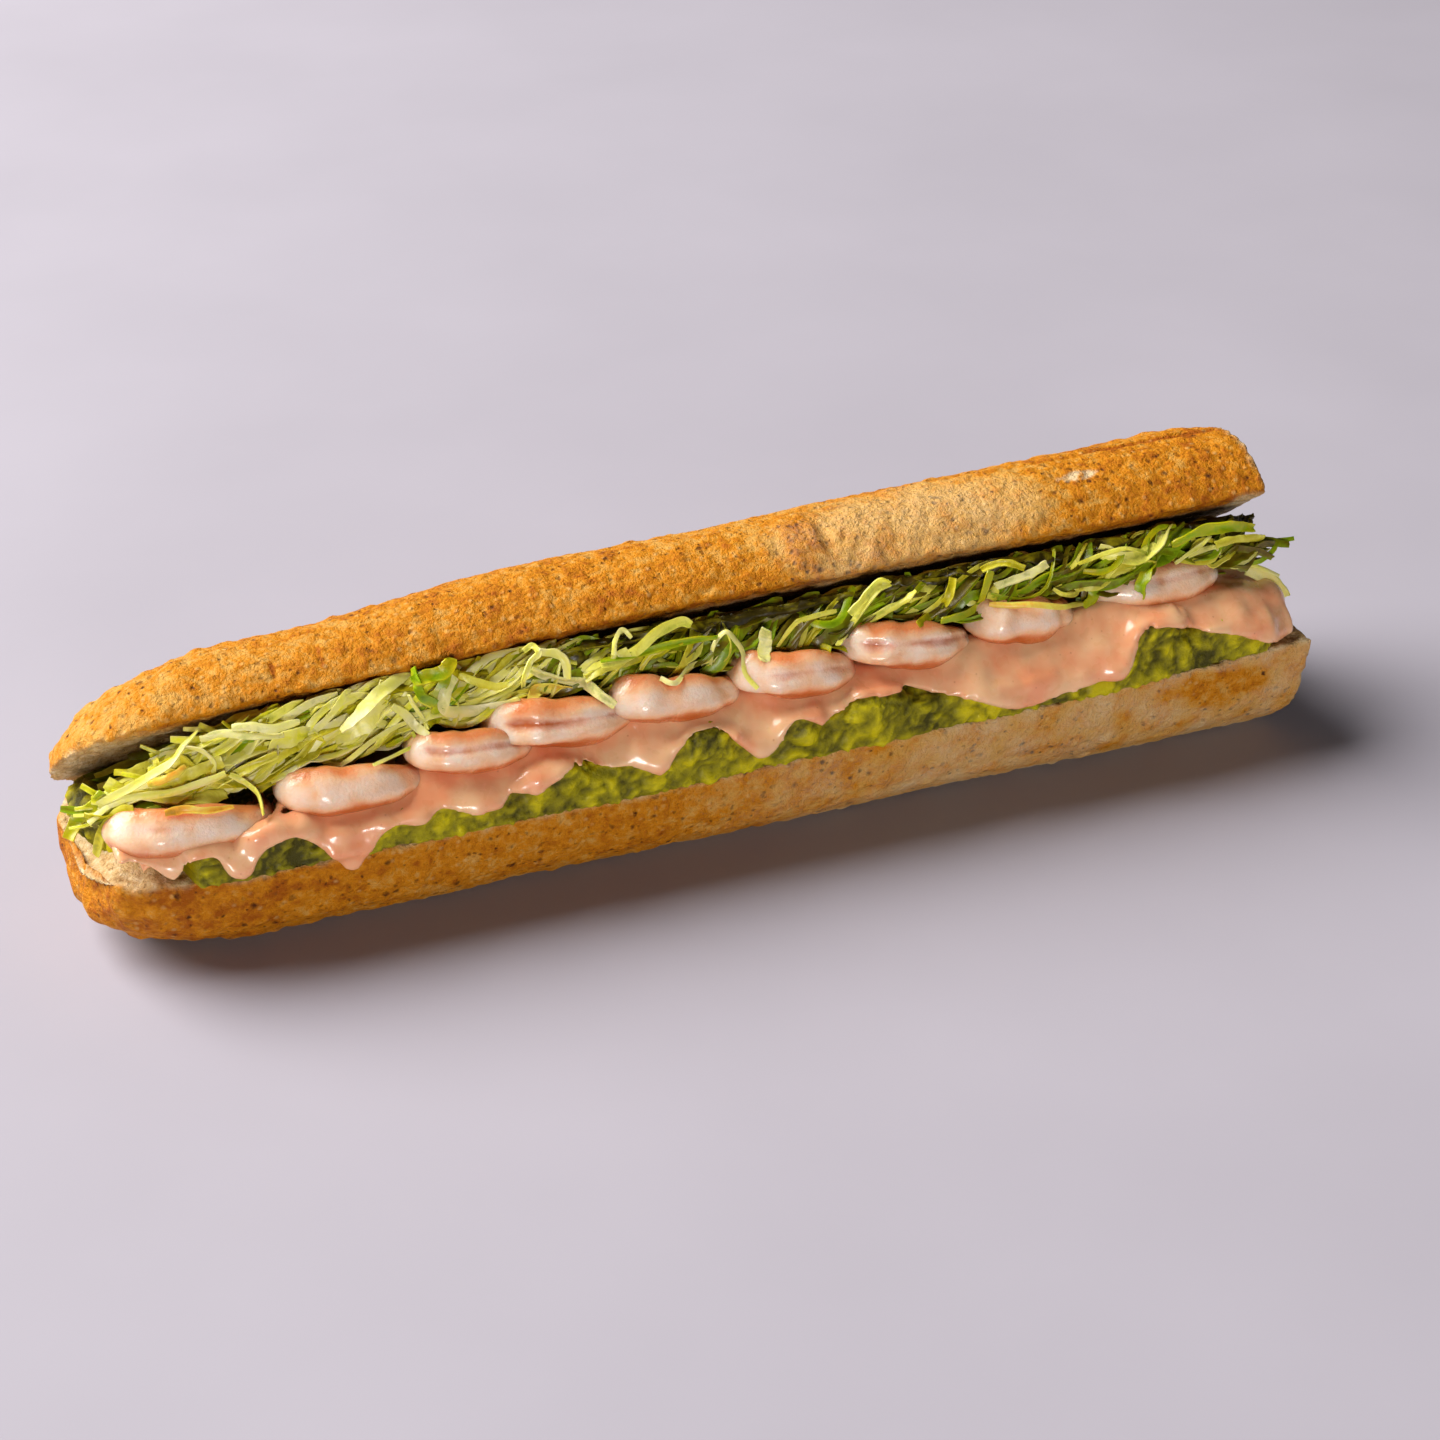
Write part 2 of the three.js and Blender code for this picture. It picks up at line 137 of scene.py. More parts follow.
# How far the rim of the lower half is drawn up towards its natural end: along the loaf and up, in mm
RIM_LIFT = ((-155, 5), (-137, 5.2), (-121, 3.2), (-97, 2.8), (-60, 1.2), (-30, 0))

# How far forward the avocado reaches near the natural end: along the loaf and across, in mm
AVOCADO_REACH = ((-154, -2), (-147, -8), (-137, -17), (-133, -22), (-130, -36))

# Dabs of avocado where it wells up between the sauce and the crust: centre and half sizes, in mm
AVOCADO_DABS = (
    ((-145, -6, 26), (8, 11, 5)),
    ((-140, -15, 27), (9, 8, 5)),
    ((-147, 4, 26), (6, 10, 5)),
    ((-129, -28, 27.5), (6, 3.4, 4.5)),
    ((-112, -28.5, 29), (8, 3.6, 6)),
    ((-84, -29, 28.5), (8, 3, 4.5)),
    ((-47, -29, 33), (9, 3.4, 5.5)),
    ((-11, -28.5, 35), (8.5, 4, 6)),
    ((13, -29, 34), (6, 3.4, 6)),
    ((32, -29, 35), (11, 3.6, 6.5)),
    ((108, -27.5, 40), (8, 4, 6.5)),
    ((124, -27, 37), (10, 4, 5)),
)

# Lumps of sauce at the cut end: centre and half sizes, in mm
SAUCE_LUMPS = (
    ((134, -21, 40.6), (11, 5, 4.4)),
    ((142.5, -19, 38.6), (6.5, 6, 5.4)),
)

# Where the sauce meets the shrimps: along the loaf and up, in mm
SAUCE_BRIM = (
    (-148, 38), (-143, 36.5), (-128, 36.2), (-118, 36.8), (-111, 38.2), (-104, 37.6), (-92, 37),
    (-84, 37.8), (-79, 39.6), (-73, 40), (-64, 40.2), (-58, 41), (-54, 41.4), (-48, 41.4), (-41, 42.4),
    (-33, 43), (-28, 43.8), (-22, 43.6), (-14, 43.2), (-6, 43.4), (0, 43.6), (5, 42.2), (12, 42),
    (16, 42.8), (24, 43.4), (28, 44), (33, 43.2), (39, 43.2), (45, 43.8), (54, 44.2), (61, 45.2),
    (68, 44.6), (75, 44.2), (84, 45.4), (91, 47.8), (97, 48), (104, 47.4), (114, 46), (122, 45.8),
    (130, 45.4), (138, 44), (144, 41.2), (150, 39),
)

# Lower edge of the sauce, with its drips: along the loaf and up, in mm
SAUCE_EDGE = (
    (-148, 35), (-143, 34), (-140, 31.5), (-137, 28.5), (-134.5, 28.3), (-133, 33), (-131.5, 36),
    (-127, 36), (-125.5, 31), (-123, 28), (-120, 27.5), (-118, 30.5), (-115.5, 33), (-109, 35),
    (-104, 31.4), (-100, 26.5), (-98, 23.5), (-95, 22.6), (-93, 24.8), (-91, 28), (-89, 31.5),
    (-85, 33), (-81, 31.5), (-78, 32.6), (-75, 34.5), (-68, 31.5), (-61, 32), (-58, 35), (-53, 34),
    (-47, 37), (-44, 39), (-40, 38.5), (-36, 35.6), (-30, 35.6), (-23, 32), (-20, 34), (-17, 38),
    (-13, 41), (-9, 40.5), (-5, 38.5), (-2, 34.5), (1, 31.6), (4, 31.4), (7, 33.5), (10, 38.5),
    (12.5, 39.5), (15, 38), (18, 36.5), (22, 38.5), (27, 41), (36, 41.5), (42, 40), (47, 37.5),
    (56, 36), (61, 34), (66, 31.2), (73, 30.2), (82, 32), (92, 33.2), (97, 33.5), (100, 38),
    (102, 43.5), (105, 45.5), (110, 44.5), (120, 40.5), (130, 38), (137, 34.5), (142, 33), (150, 33.4),
)

# Top of the shrimps that the lettuce stands on, and how high the lettuce rises over it, in mm
HEAP_FOOT = (
    (-150, 40), (-128, 43.5), (-92, 45.5), (-64, 49), (-41, 52), (16, 52), (45, 54), (114, 55), (132, 52),
    (150, 46),
)
HEAP_RISE = (
    (-150, 1.5), (-140, 5), (-130, 8), (-120, 11), (-100, 12.5), (-60, 11), (-20, 9), (100, 8.5), (115, 7.5),
    (130, 6), (146, 3),
)

# Ends of the heap: where along the loaf, how far the shreds reach out, how high they start, and how many
HEAP_ENDS = ((-138, -10, 39, 44), (132, 12, 52, 60))

# How far shreds stay under the upper half, in metres: those that fill the heap, and the placed ones
LID_GAP = 0.0004
PLACED_LID_GAP = 0.0005

# How each shrimp differs: depth of the groove, lobes, narrowing of the right end, lift of the left end,
# and hollow under the left half
SHRIMP_WAYS = (
    (0.3, 0.4, 0.62, 0.02, 0.2), (0.15, 0.4, 0.5, 0.0, 0.3), (0.9, 0.5, 0.5, 0.03, 0.6),
    (0.95, 0.7, 0.62, 0.02, 1.0), (0.3, 1.1, 0.55, 0.03, 0.5), (0.5, 0.3, 0.4, 0.04, 1.0),
    (1.0, 0.8, 0.6, 0.06, 1.0), (0.1, 1.6, 0.3, 0.02, 0.6), (0.6, 0.4, 0.5, -0.02, 0.6),
)


def linear(code):
    """Linear colour of an sRGB hex code."""
    channels = [int(code[at:at + 2], 16) / 255 for at in (0, 2, 4)]
    return [c / 12.92 if c <= 0.04045 else ((c + 0.055) / 1.055) ** 2.4 for c in channels]


def colour(name, description, code):
    """A colour that the sidebar shows."""
    return FloatVectorProperty(
        name=name, description=description, default=linear(code), size=3, min=0, max=1, subtype="COLOR")


def length(name, description, millimetres):
    """A length that the sidebar shows."""
    return FloatProperty(
        name=name, description=description, default=millimetres * MM, min=0, precision=5,
        unit="LENGTH", subtype="DISTANCE")


def opaque(tone):
    """A colour with its alpha, from three values or from one grey."""
    red, green, blue = (tone, tone, tone) if isinstance(tone, (int, float)) else tone
    return (red, green, blue, 1.0)


class BreadSettings(bpy.types.PropertyGroup):
    voxel: length("Detail", "Size of the grid that the crust is carved on", 0.8)
    swell: length("Swell", "Height of the broad unevenness of the crust", 0.45)
    wrinkle: length("Wrinkle", "Height of the fine wrinkles of the crust", 0.33)
    pore: length("Pore", "Depth of the pores of the crumb", 0.9)
    golden: colour("Golden crust", "Crust where it is lightly baked", "D6860A")
    deep: colour("Deep crust", "Crust where it is well baked", "AC5A04")
    pale: colour("Pale crust", "Crust dusted with flour", "DCA24A")
    bran: colour("Bran", "Dark flecks of bran", "4C2004")
    grain: colour("Grain", "Light flecks of grain", "E6B972")
    crumb: colour("Crumb", "Inside of the loaf", "D2AC74")
    crumb_light: colour("Light crumb", "Walls of the pores of the crumb", "EAD3A8")


class AvocadoSettings(bpy.types.PropertyGroup):
    voxel: length("Detail", "Size of the grid that the mash is carved on", 0.8)
    lump: length("Lump", "Height of the lumps of the mash", 1.1)
    # the bright and dark flesh also serve as painted light on the tops of the lumps and painted shade in the
    # hollows
    bright: colour("Bright flesh", "Ripe flesh, and painted light on the lumps", "D2C202")
    middle: colour("Flesh", "Flesh between the lumps", "968C02")
    dark: colour("Dark flesh", "Darker flesh, and painted shade in the hollows", "4A4400")


class SauceSettings(bpy.types.PropertyGroup):
    voxel: length("Detail", "Size of the grid that the sauce flows on", 0.65)
    swell: length("Swell", "How far the sauce stands proud", 0.3)
    pink: colour("Pink", "Sauce in the light", "FFC694")
    rose: colour("Rose", "Thin or shaded sauce", "F8A474")
    paprika: colour("Paprika", "Specks of paprika", "CB6F3F")


class ShrimpSettings(bpy.types.PropertyGroup):
    segments: IntProperty(name="Segments", description="Segments of a tail", default=6, min=3, max=9)
    groove: length("Groove", "Depth of the cut along the back", 1.5)
    flesh: colour("Flesh", "Cooked white flesh where it is thick", "FFDEC8")
    peach: colour("Peach", "Cooked flesh between white and pink", "FAC498")
    blush: colour("Blush", "Pink of the outer bands", "E88C52")
    # the vein orange also serves as painted shade on the underside and in the hollows of the shrimps
    vein: colour("Vein", "Cut along the back, and the underside partly in painted shade", "C65E1A")


class LettuceSettings(bpy.types.PropertyGroup):
    fill: IntProperty(name="Fill", description="Shreds between the placed ones", default=760, min=0, max=900)
    thickness: length("Thickness", "Thickness of a leaf", 0.32)
    rib: colour("Rib", "White of the ribs", "F2EA9C")
    pale: colour("Pale", "Pale inner leaf", "F2EC60")
    leaf: colour("Leaf", "Yellow green leaf", "C6B60C")
    lime: colour("Lime", "Young leaf in the light", "F4F028")
    green: colour("Green", "Bright green outer leaf", "88A604")
    # painted shade: a darkened leaf for shreds deep in the heap and in the shadow of the upper half
    deep: colour("Deep", "Leaf in painted shade in the depth of the heap", "6A5804")
    # painted reflection: orange light that the sauce throws up into the shreds that lie over it
    warm: colour("Warm", "Leaf painted orange by light from the sauce", "F2A636")


class StageSettings(bpy.types.PropertyGroup):
    azimuth: FloatProperty(
        name="Azimuth", description="Side of the camera", default=math.radians(-21.39), subtype="ANGLE")
    elevation: FloatProperty(
        name="Elevation", description="Height of the camera over the table", default=math.radians(30.36),
        subtype="ANGLE")
    distance: length("Distance", "From the camera to the sandwich", 720)
    lens: FloatProperty(name="Lens", description="Focal length on a 36 mm sensor", default=73.9, min=10)
    table: colour("Table", "Colour of the table", "ADA7B1")


def settings(kind):
    """The values that the sidebar holds for one kind of piece."""
    return getattr(bpy.context.scene, "baguette_" + kind)


def add(material, kind, values=(), links=()):
    """A new node with its values set and its inputs joined; a node stands for its first output."""
    node = material.node_tree.nodes.new("ShaderNode" + kind)
    for key, value in dict(values).items():
        if key == "stops":
            while len(node.color_ramp.elements) < len(value):
                node.color_ramp.elements.new(0.5)
            for element, (position, tone) in zip(node.color_ramp.elements, value):
                element.position = position
                element.color = opaque(tone)
        elif isinstance(key, str) and hasattr(node, key):
            setattr(node, key, value)
        else:
            socket = node.inputs[key]
            socket.default_value = opaque(value) if socket.type == "RGBA" else value
    for key, source in dict(links).items():
        if isinstance(source, bpy.types.Node):
            source = source.outputs[0]
        material.node_tree.links.new(source, node.inputs[key])
    return node


def new_material(name):
    """A material without nodes."""
    material = bpy.data.materials.new(name)
    material.use_nodes = True
    material.node_tree.nodes.clear()
    return material


def surface(material, values, base, rough, height, strength, depth):
    """The material's shader with its relief, whose strength is a share and whose depth is in metres."""
    bump = add(material, "Bump", {"Strength": strength, "Distance": depth}, {"Height": height})
    shader = add(material, "BsdfPrincipled", values, {"Base Color": base, "Roughness": rough, "Normal": bump})
    add(material, "OutputMaterial", {}, {"Surface": shader})
    return material


def wave(*place):
    """Smooth unevenness from -1 to 1 at a place of three numbers."""
    return noise.noise(Vector(place))


def ripple(point, size, seed=0):
    """Smooth unevenness from -1 to 1 whose swells are one size apart."""
    return noise.noise(point / size + Vector((seed * 7.31, seed * 3.17, seed * 5.73)))


def sway(point, size, seed):
    """Smooth unevenness in all three directions."""
    return Vector((ripple(point, size, seed), ripple(point, size, seed + 1), ripple(point, size, seed + 2)))


def bell(gap, width):
    """1 where there is no gap, falling off smoothly on both sides."""
    return math.exp(-(gap / width) ** 2)


def smooth_step(value, low, high):
    """0 below low, 1 above high, and smooth between."""
    share = min(1.0, max(0.0, (value - low) / (high - low)))
    return share * share * (3 - 2 * share)


def table_value(table, x):
    """Height that a table gives at a place along the loaf, both in mm."""
    if x <= table[0][0]:
        return table[0][1]
    for (a, low), (b, high) in zip(table, table[1:]):
        if x <= b:
            return low + (high - low) * (x - a) / (b - a)
    return table[-1][1]


def rim_lift(point, low, high):
    """How far a point is drawn up with the rim of the lower half; nothing moves under low, in mm."""
    share = smooth_step(point.z / MM, low, high)
    return Vector((0, 0, table_value(RIM_LIFT, point.x / MM) * MM * share))


def near(point, place, reach):
    """1 at a place given in mm, falling to 0 at its reach."""
    gap = Vector([(point[axis] / MM - place[axis]) / reach[axis] for axis in range(3)]).length
    return 1 - smooth_step(gap, 0.35, 1.0)


def merged_copy(name):
    """A bmesh of a CAD node with its loose triangles joined."""
    bm = bmesh.new()
    bm.from_mesh(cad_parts[name].data)
    bmesh.ops.remove_doubles(bm, verts=bm.verts, dist=1e-6)
    bm.normal_update()
    return bm


def tree_of(name):
    """Search tree of a CAD node, to find its surface."""
    bm = merged_copy(name)
    tree = BVHTree.FromBMesh(bm)
    bm.free()
    return tree


def made_tree(name):
    """Search tree of a finished piece."""
    mesh = bpy.data.objects[name].data
    places = [vertex.co for vertex in mesh.vertices]
    return BVHTree.FromPolygons(places, [face.vertices for face in mesh.polygons])


def add_dabs(bm, dabs):
    """Round dabs, each from its centre and half sizes in mm."""
    for centre, half in dabs:
        place = Matrix.Translation(Vector(centre) * MM) @ Matrix.Diagonal((*(Vector(half) * MM), 1))
        bmesh.ops.create_icosphere(bm, subdivisions=3, radius=1, matrix=place)


def object_of(name, bm):
    """A linked object at the origin that holds the bmesh."""
    mesh = bpy.data.meshes.new(name)
    bm.to_mesh(mesh)
    bm.free()
    piece = bpy.data.objects.new(name, mesh)
    bpy.context.scene.collection.objects.link(piece)
    return piece


def apply_modifiers(piece):
    """The piece's modifiers become part of its mesh."""
    graph = bpy.context.evaluated_depsgraph_get()
    graph.update()
    mesh = bpy.data.meshes.new_from_object(piece.evaluated_get(graph))
    old = piece.data
    piece.modifiers.clear()
    piece.data = mesh
    bpy.data.meshes.remove(old)
    mesh.name = piece.name


def remesh(piece, voxel, smoothing):
    """One even closed skin over everything in the piece, then softened."""
    step = piece.modifiers.new("Skin", "REMESH")
    step.mode = "VOXEL"
    step.voxel_size = voxel
    step.adaptivity = 0
    step = piece.modifiers.new("Soften", "SMOOTH")
    step.factor = 0.5
    step.iterations = smoothing
    apply_modifiers(piece)


def sculpt(piece, shape, names=()):
    """Moves every point by what shape returns first, and keeps the values that follow under the names."""
    mesh = piece.data
    values = {name: [0.0] * len(mesh.vertices) for name in names}
    places = [0.0] * (3 * len(mesh.vertices))
    for vertex in mesh.vertices:
        rise, notes = shape(vertex.co.copy(), vertex.normal.copy())
        place = vertex.co + rise
        at = vertex.index
        places[3 * at:3 * at + 3] = place
        for name, value in zip(names, notes):
            values[name][at] = value
    mesh.vertices.foreach_set("co", places)
    for name in names:
        layer = mesh.attributes.new(name, "FLOAT", "POINT")
        layer.data.foreach_set("value", values[name])
    mesh.update()


def finish_piece(piece, material, node):
    """Smooth shading, material and body of a finished piece; the CAD node that it stands for is hidden."""
    piece.data.materials.clear()
    piece.data.materials.append(material)
    piece.data.polygons.foreach_set("use_smooth", [True] * len(piece.data.polygons))
    piece.data.update()
    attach(piece, "root")
    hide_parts(node)


# Bread

def spots_of(m, place, scale, core, rim, share):
    """Irregular flecks: round cells of a scale, of which the share is drawn, soft from core to rim."""
    cells = add(m, "TexVoronoi", {"Scale": scale}, {"Vector": place})
    disc = add(m, "ValToRGB", {"stops": ((core, 1), (rim, 0))}, {0: cells})
    pick = add(m, "SeparateColor", {}, {0: cells.outputs["Color"]})
    pick = add(m, "ValToRGB", {"stops": ((1 - share, 0), (min(1, 1.12 - share), 1))}, {0: pick})
    return add(m, "Math", {"operation": "MULTIPLY"}, {0: disc, 1: pick})


def bread_material():
    """Baked wholegrain crust: matt golden skin, unevenly baked, full of bran, and pale open crumb."""
    look = settings("bread")
    m = new_material("baked_wholegrain_crust")
    place = add(m, "TexCoord").outputs["Object"]
    bake, crumb, flour = (
        add(m, "Attribute", {"attribute_name": name}).outputs["Fac"] for name in ("bake", "crumb", "flour"))
    # clouds of baking about 8 mm across, blotches about 3 mm, and grain of the skin about 1.2 mm
    tone = bake
    relief = []
    for scale, depth in ((125, 1.4), (330, 1.8), (820, 0.9)):
        relief.append(add(m, "TexNoise", {"Scale": scale, "Detail": 4, "Roughness": 0.65}, {"Vector": place}))
        tone = add(m, "Math", {"operation": "MULTIPLY_ADD", 1: depth}, {0: relief[-1], 2: tone})
    clouds, blotch, grain = relief
    tone = add(m, "Math", {"operation": "SUBTRACT", 1: 2.05}, {0: tone})
    skin = add(m, "ValToRGB", {"stops": ((0, look.pale), (0.42, look.golden), (0.95, look.deep))}, {0: tone})
    # bran: flecks about 4.3, 2.5 and 1.4 mm apart, bent a little so that none is round
    warp = add(m, "TexNoise", {"Scale": 620, "Detail": 2}, {"Vector": place}).outputs["Color"]
    bent = add(m, "VectorMath", {"operation": "MULTIPLY_ADD", 1: [0.0016] * 3}, {0: warp, 2: place})
    dark = spots_of(m, bent, 230, 0.1, 0.26, 0.3)
    for scale, core, rim, share in ((400, 0.14, 0.34, 0.34), (720, 0.12, 0.4, 0.2)):
        more = spots_of(m, bent, scale, core, rim, share)
        dark = add(m, "Math", {"operation": "MAXIMUM"}, {0: dark, 1: more})
    uneven = add(m, "MapRange", {"From Min": 0.4, "From Max": 0.6, "To Min": 0.35, "To Max": 0.95}, {
        "Value": clouds})
    bran = add(m, "Math", {"operation": "MULTIPLY"}, {0: dark, 1: uneven})
    # light grains about 2 mm apart
    light = spots_of(m, place, 520, 0.1, 0.42, 0.3)
    grains = add(m, "Math", {"operation": "MULTIPLY", 1: 0.5}, {0: light})
    # flour lies on the high grain of the skin
    dust = add(m, "Math", {"operation": "MULTIPLY"}, {0: flour, 1: grain})
    dust = add(m, "ValToRGB", {"stops": ((0.1, 0), (0.55, 0.8))}, {0: dust})
    for share, tint in ((grains, look.grain), (bran, look.bran), (dust, look.crumb_light)):
        skin = add(m, "Mix", {"data_type": "RGBA", 7: tint}, {0: share, 6: skin}).outputs[2]
    # crumb: pores of 1 to 3 mm, with painted shade darkening the inside of each pore
    pores = add(m, "TexNoise", {"Scale": 420, "Detail": 5, "Roughness": 0.7}, {"Vector": place})
    pit = (look.crumb[0] * 0.6, look.crumb[1] * 0.5, look.crumb[2] * 0.4)
    walls = ((0.32, pit), (0.46, look.crumb), (0.68, look.crumb_light))
    inside = add(m, "ValToRGB", {"stops": walls}, {0: pores})
    base = add(m, "Mix", {"data_type": "RGBA"}, {0: crumb, 6: skin, 7: inside}).outputs[2]
    rough = add(m, "MapRange", {"From Min": 0.3, "From Max": 0.75, "To Min": 0.5, "To Max": 0.75}, {
        "Value": grain})
    # bran lies a little deep, blotches and grains stand up, and wrinkles are about 0.5 mm apart
    wrinkles = add(m, "TexNoise", {"Scale": 1900, "Detail": 3, "Roughness": 0.6}, {"Vector": place})
    height = grain
    for layer, rise in ((dark, -0.25), (blotch, 1.2), (light, 0.3), (wrinkles, 0.4)):
        height = add(m, "Math", {"operation": "MULTIPLY_ADD", 1: rise}, {0: layer, 2: height})
    return surface(m, {
        "IOR": 1.45, "Specular IOR Level": 0.2,
        "Subsurface Weight": 0.05, "Subsurface Radius": (0.6, 0.3, 0.1), "Subsurface Scale": 0.002,
    }, base, rough, height, 0.85, 0.0013)


def bread_skin(node, name, is_cut, detail):
    """The CAD half made round between its stations, then skinned for carving."""
    look = settings("bread")
    bm = merged_copy(node)
    bmesh.ops.join_triangles(
        bm, faces=bm.faces, angle_face_threshold=math.radians(35), angle_shape_threshold=math.radians(40))
    crease = bm.edges.layers.float.new("crease_edge")
    for edge in bm.edges:
        if len(edge.link_faces) == 2 and edge.calc_face_angle() > math.radians(50):
            edge[crease] = 0.9
    piece = object_of(name, bm)
    step = piece.modifiers.new("Round", "SUBSURF")
    step.levels = 2
    step.render_levels = 2
    remesh(piece, look.voxel, 2)
    tree = tree_of(node)

    def shape(point, normal):
        cut = is_cut(point, tree.find_nearest(point + sway(point, 0.003, 1) * 0.0009)[1])
        if cut:
            pits = max(0.0, ripple(point, 0.0036, 4) - 0.05) * 1.3
            pits += max(0.0, ripple(point, 0.0018, 5) - 0.1) * 0.8
            rise = ripple(point, 0.009, 6) * 0.0006 - pits * look.pore
        else:
            rise = ripple(point, 0.024, 7) * look.swell
            rise += ripple(point, 0.011, 8) * look.swell * 0.6
            blister = max(0.0, ripple(point, 0.0052, 9) - 0.12)
            blister *= 1.6 + 1.6 * smooth_step(-point.x, 0.09, 0.15)
            fold = 1 - abs(ripple(point, 0.0042, 10)) * 2.2
            rise += blister * look.wrinkle * 1.6
            rise += (ripple(point, 0.0024, 11) + max(0.0, fold) * -0.7) * look.wrinkle
        extra, bake, flour = detail(point, normal)
        drawn = rim_lift(point, 3, 20) if node == "bread_bottom" else Vector()
        crumb = 1.0 if cut else 0.0
        if cut and node == "bread_top" and point.x < 0.135:
            # the front edge of the cut face is toasted like the crust
            toasted = 1 - smooth_step(point.y / MM, -12.5, -6)
            crumb -= toasted
            bake += 0.3 * toasted
        moved = normal * (rise + extra) + drawn
        # nothing sinks through the table
        moved.z = max(moved.z, -point.z)
        return moved, (crumb, bake, flour)

    sculpt(piece, shape, ("crumb", "bake", "flour"))
    soften_value(piece, "crumb", 2)
    return piece


def soften_value(piece, name, rounds):
    """Evens out a point value between neighbours."""
    mesh = piece.data
    layer = mesh.attributes[name]
    for _ in range(rounds):
        totals = [entry.value for entry in layer.data]
        counts = [1] * len(totals)
        old = list(totals)
        for edge in mesh.edges:
            a, b = edge.vertices
            totals[a] += old[b]
            totals[b] += old[a]
            counts[a] += 1
            counts[b] += 1
        layer.data.foreach_set("value", [t / c for t, c in zip(totals, counts)])


def lower_cut(point, facing):
    """True on the cut face, on the cut end of the lower half and on the torn rim round that end."""
    rim = point.x / MM > 151.4 + 2 * ripple(point, 0.005, 20)
    return facing.z > 0.9 or (facing.x > 0.85 and point.x > 0.14) or rim


def upper_cut(point, facing):
    """True on the cut face and on the cut end of the upper half."""
    inward = facing.y * -0.656 + facing.z * -0.755
    return inward > 0.9 or (facing.x > 0.9 and point.x > 0.135)


def lower_detail(point, normal):
    """Deep orange natural end, paler and mottled with flour towards the cut end, a dusty rounded foot."""
    along = point.x / MM
    bake = 0.5 - 0.3 * smooth_step(along, -60, 70) + 0.15 * ripple(point, 0.04, 13)
    bake += 0.12 * (1 - smooth_step(along, -130, -70)) * (1 + 1.2 * ripple(point, 0.005, 17))
    foot = 1 - smooth_step(point.z / MM, 0.5, 5.5)
    spread = smooth_step(along, -40, 60)
    mottle = 1 + 0.9 * ripple(point, 0.006, 19) + 0.7 * ripple(point, 0.013, 23)
    flour = 0.12 + 0.5 * foot + 0.38 * spread * mottle
    # an orange patch without flour near the cut end
    patch = near(point, (126, -31, 23), (20, 14, 8)) * (1 + 0.8 * ripple(point, 0.007, 17))
    flour -= 0.6 * patch
    bake += 0.3 * patch + (0.1 + 0.14 * spread) * ripple(point, 0.005, 21)
    # the foot is rounded, and the natural end rises from the table
    low = 1 - smooth_step(point.z / MM, 0, 10)
    rise = -0.0024 * low * smooth_step(normal.z, -0.95, -0.4)
    rise -= 0.0036 * smooth_step(-along, 112, 150) * (1 - smooth_step(point.z / MM, 1, 13))
    rise -= 0.003 * near(point, (-157, -14, 24), (12, 26, 16))
    rise += 0.0009 * ripple(point, 0.004, 18) * smooth_step(along, 149, 153)
    return rise, bake - 0.2 * foot, flour


def upper_detail(point, _):
    """Rich crust: dark bits at its tip, a floury zone, a peeled blister, a scuff, a score, cracks, a flap."""
    along = point.x / MM
    bake = 0.46 + 0.2 * ripple(point, 0.05, 12)
    bake -= 0.26 * (1 - smooth_step(along, -145, -70))
    bake += 0.9 * near(point, (-152, -3, 43), (5, 9, 5)) * max(0.0, 0.4 + 1.6 * ripple(point, 0.003, 22))
    bake += 0.12 * smooth_step(along, 75, 110)
    patchy = 1 + 0.5 * ripple(point, 0.009, 14)
    floury = near(point, (50, -7, 71), (52, 26, 20)) * patchy
    bake -= 0.42 * floury
    flour = 0.1 + 0.3 * floury
    peel = near(point, (23, -5, 71), (7, 12, 12)) * patchy
    bake += 0.4 * peel
    rise = 0.0008 * peel - 0.0007 * near(point, (29, -6, 71), (2.6, 9, 8))
    scuff = near(point, (97, -3, 74.5), (7, 2.2, 3)) * max(0.0, 1 + 1.6 * ripple(point, 0.0016, 15))
    flour += 1.1 * scuff
    rise -= 0.0004 * scuff
    score = near(point, (122, 7, 76), (26, 1.6, 6)) * max(0.0, 1 + 1.3 * ripple(point, 0.006, 16))
    bake += 0.8 * score
    rise -= 0.0009 * score
    for place, reach in (((-95, -8, 65.6), (0.9, 5, 4)), ((-106, -9, 64.5), (0.9, 4, 4))):
        crack = near(point, place, reach)
        rise -= 0.0004 * crack
        bake += 0.7 * crack
    flap = near(point, (-52, 9, 73.6), (4.5, 5, 6))
    rise += 0.0022 * flap
    bake += 0.2 * flap
    rise -= 0.0028 * near(point, (146, -16, 57), (6, 8, 7))
    return rise, bake, flour


class BAGUETTE_OT_bread(bpy.types.Operator):
    """Bake both halves of the loaf"""
    bl_idname = "baguette.bread"
    bl_label = "Bread"

    def execute(self, context):
        crust = bread_material()
        lower = bread_skin("bread_bottom", "bread_lower_half", lower_cut, lower_detail)
        finish_piece(lower, crust, "bread_bottom")
        upper = bread_skin("bread_top", "bread_upper_half", upper_cut, upper_detail)
        finish_piece(upper, crust, "bread_top")
        return {"FINISHED"}


# Avocado

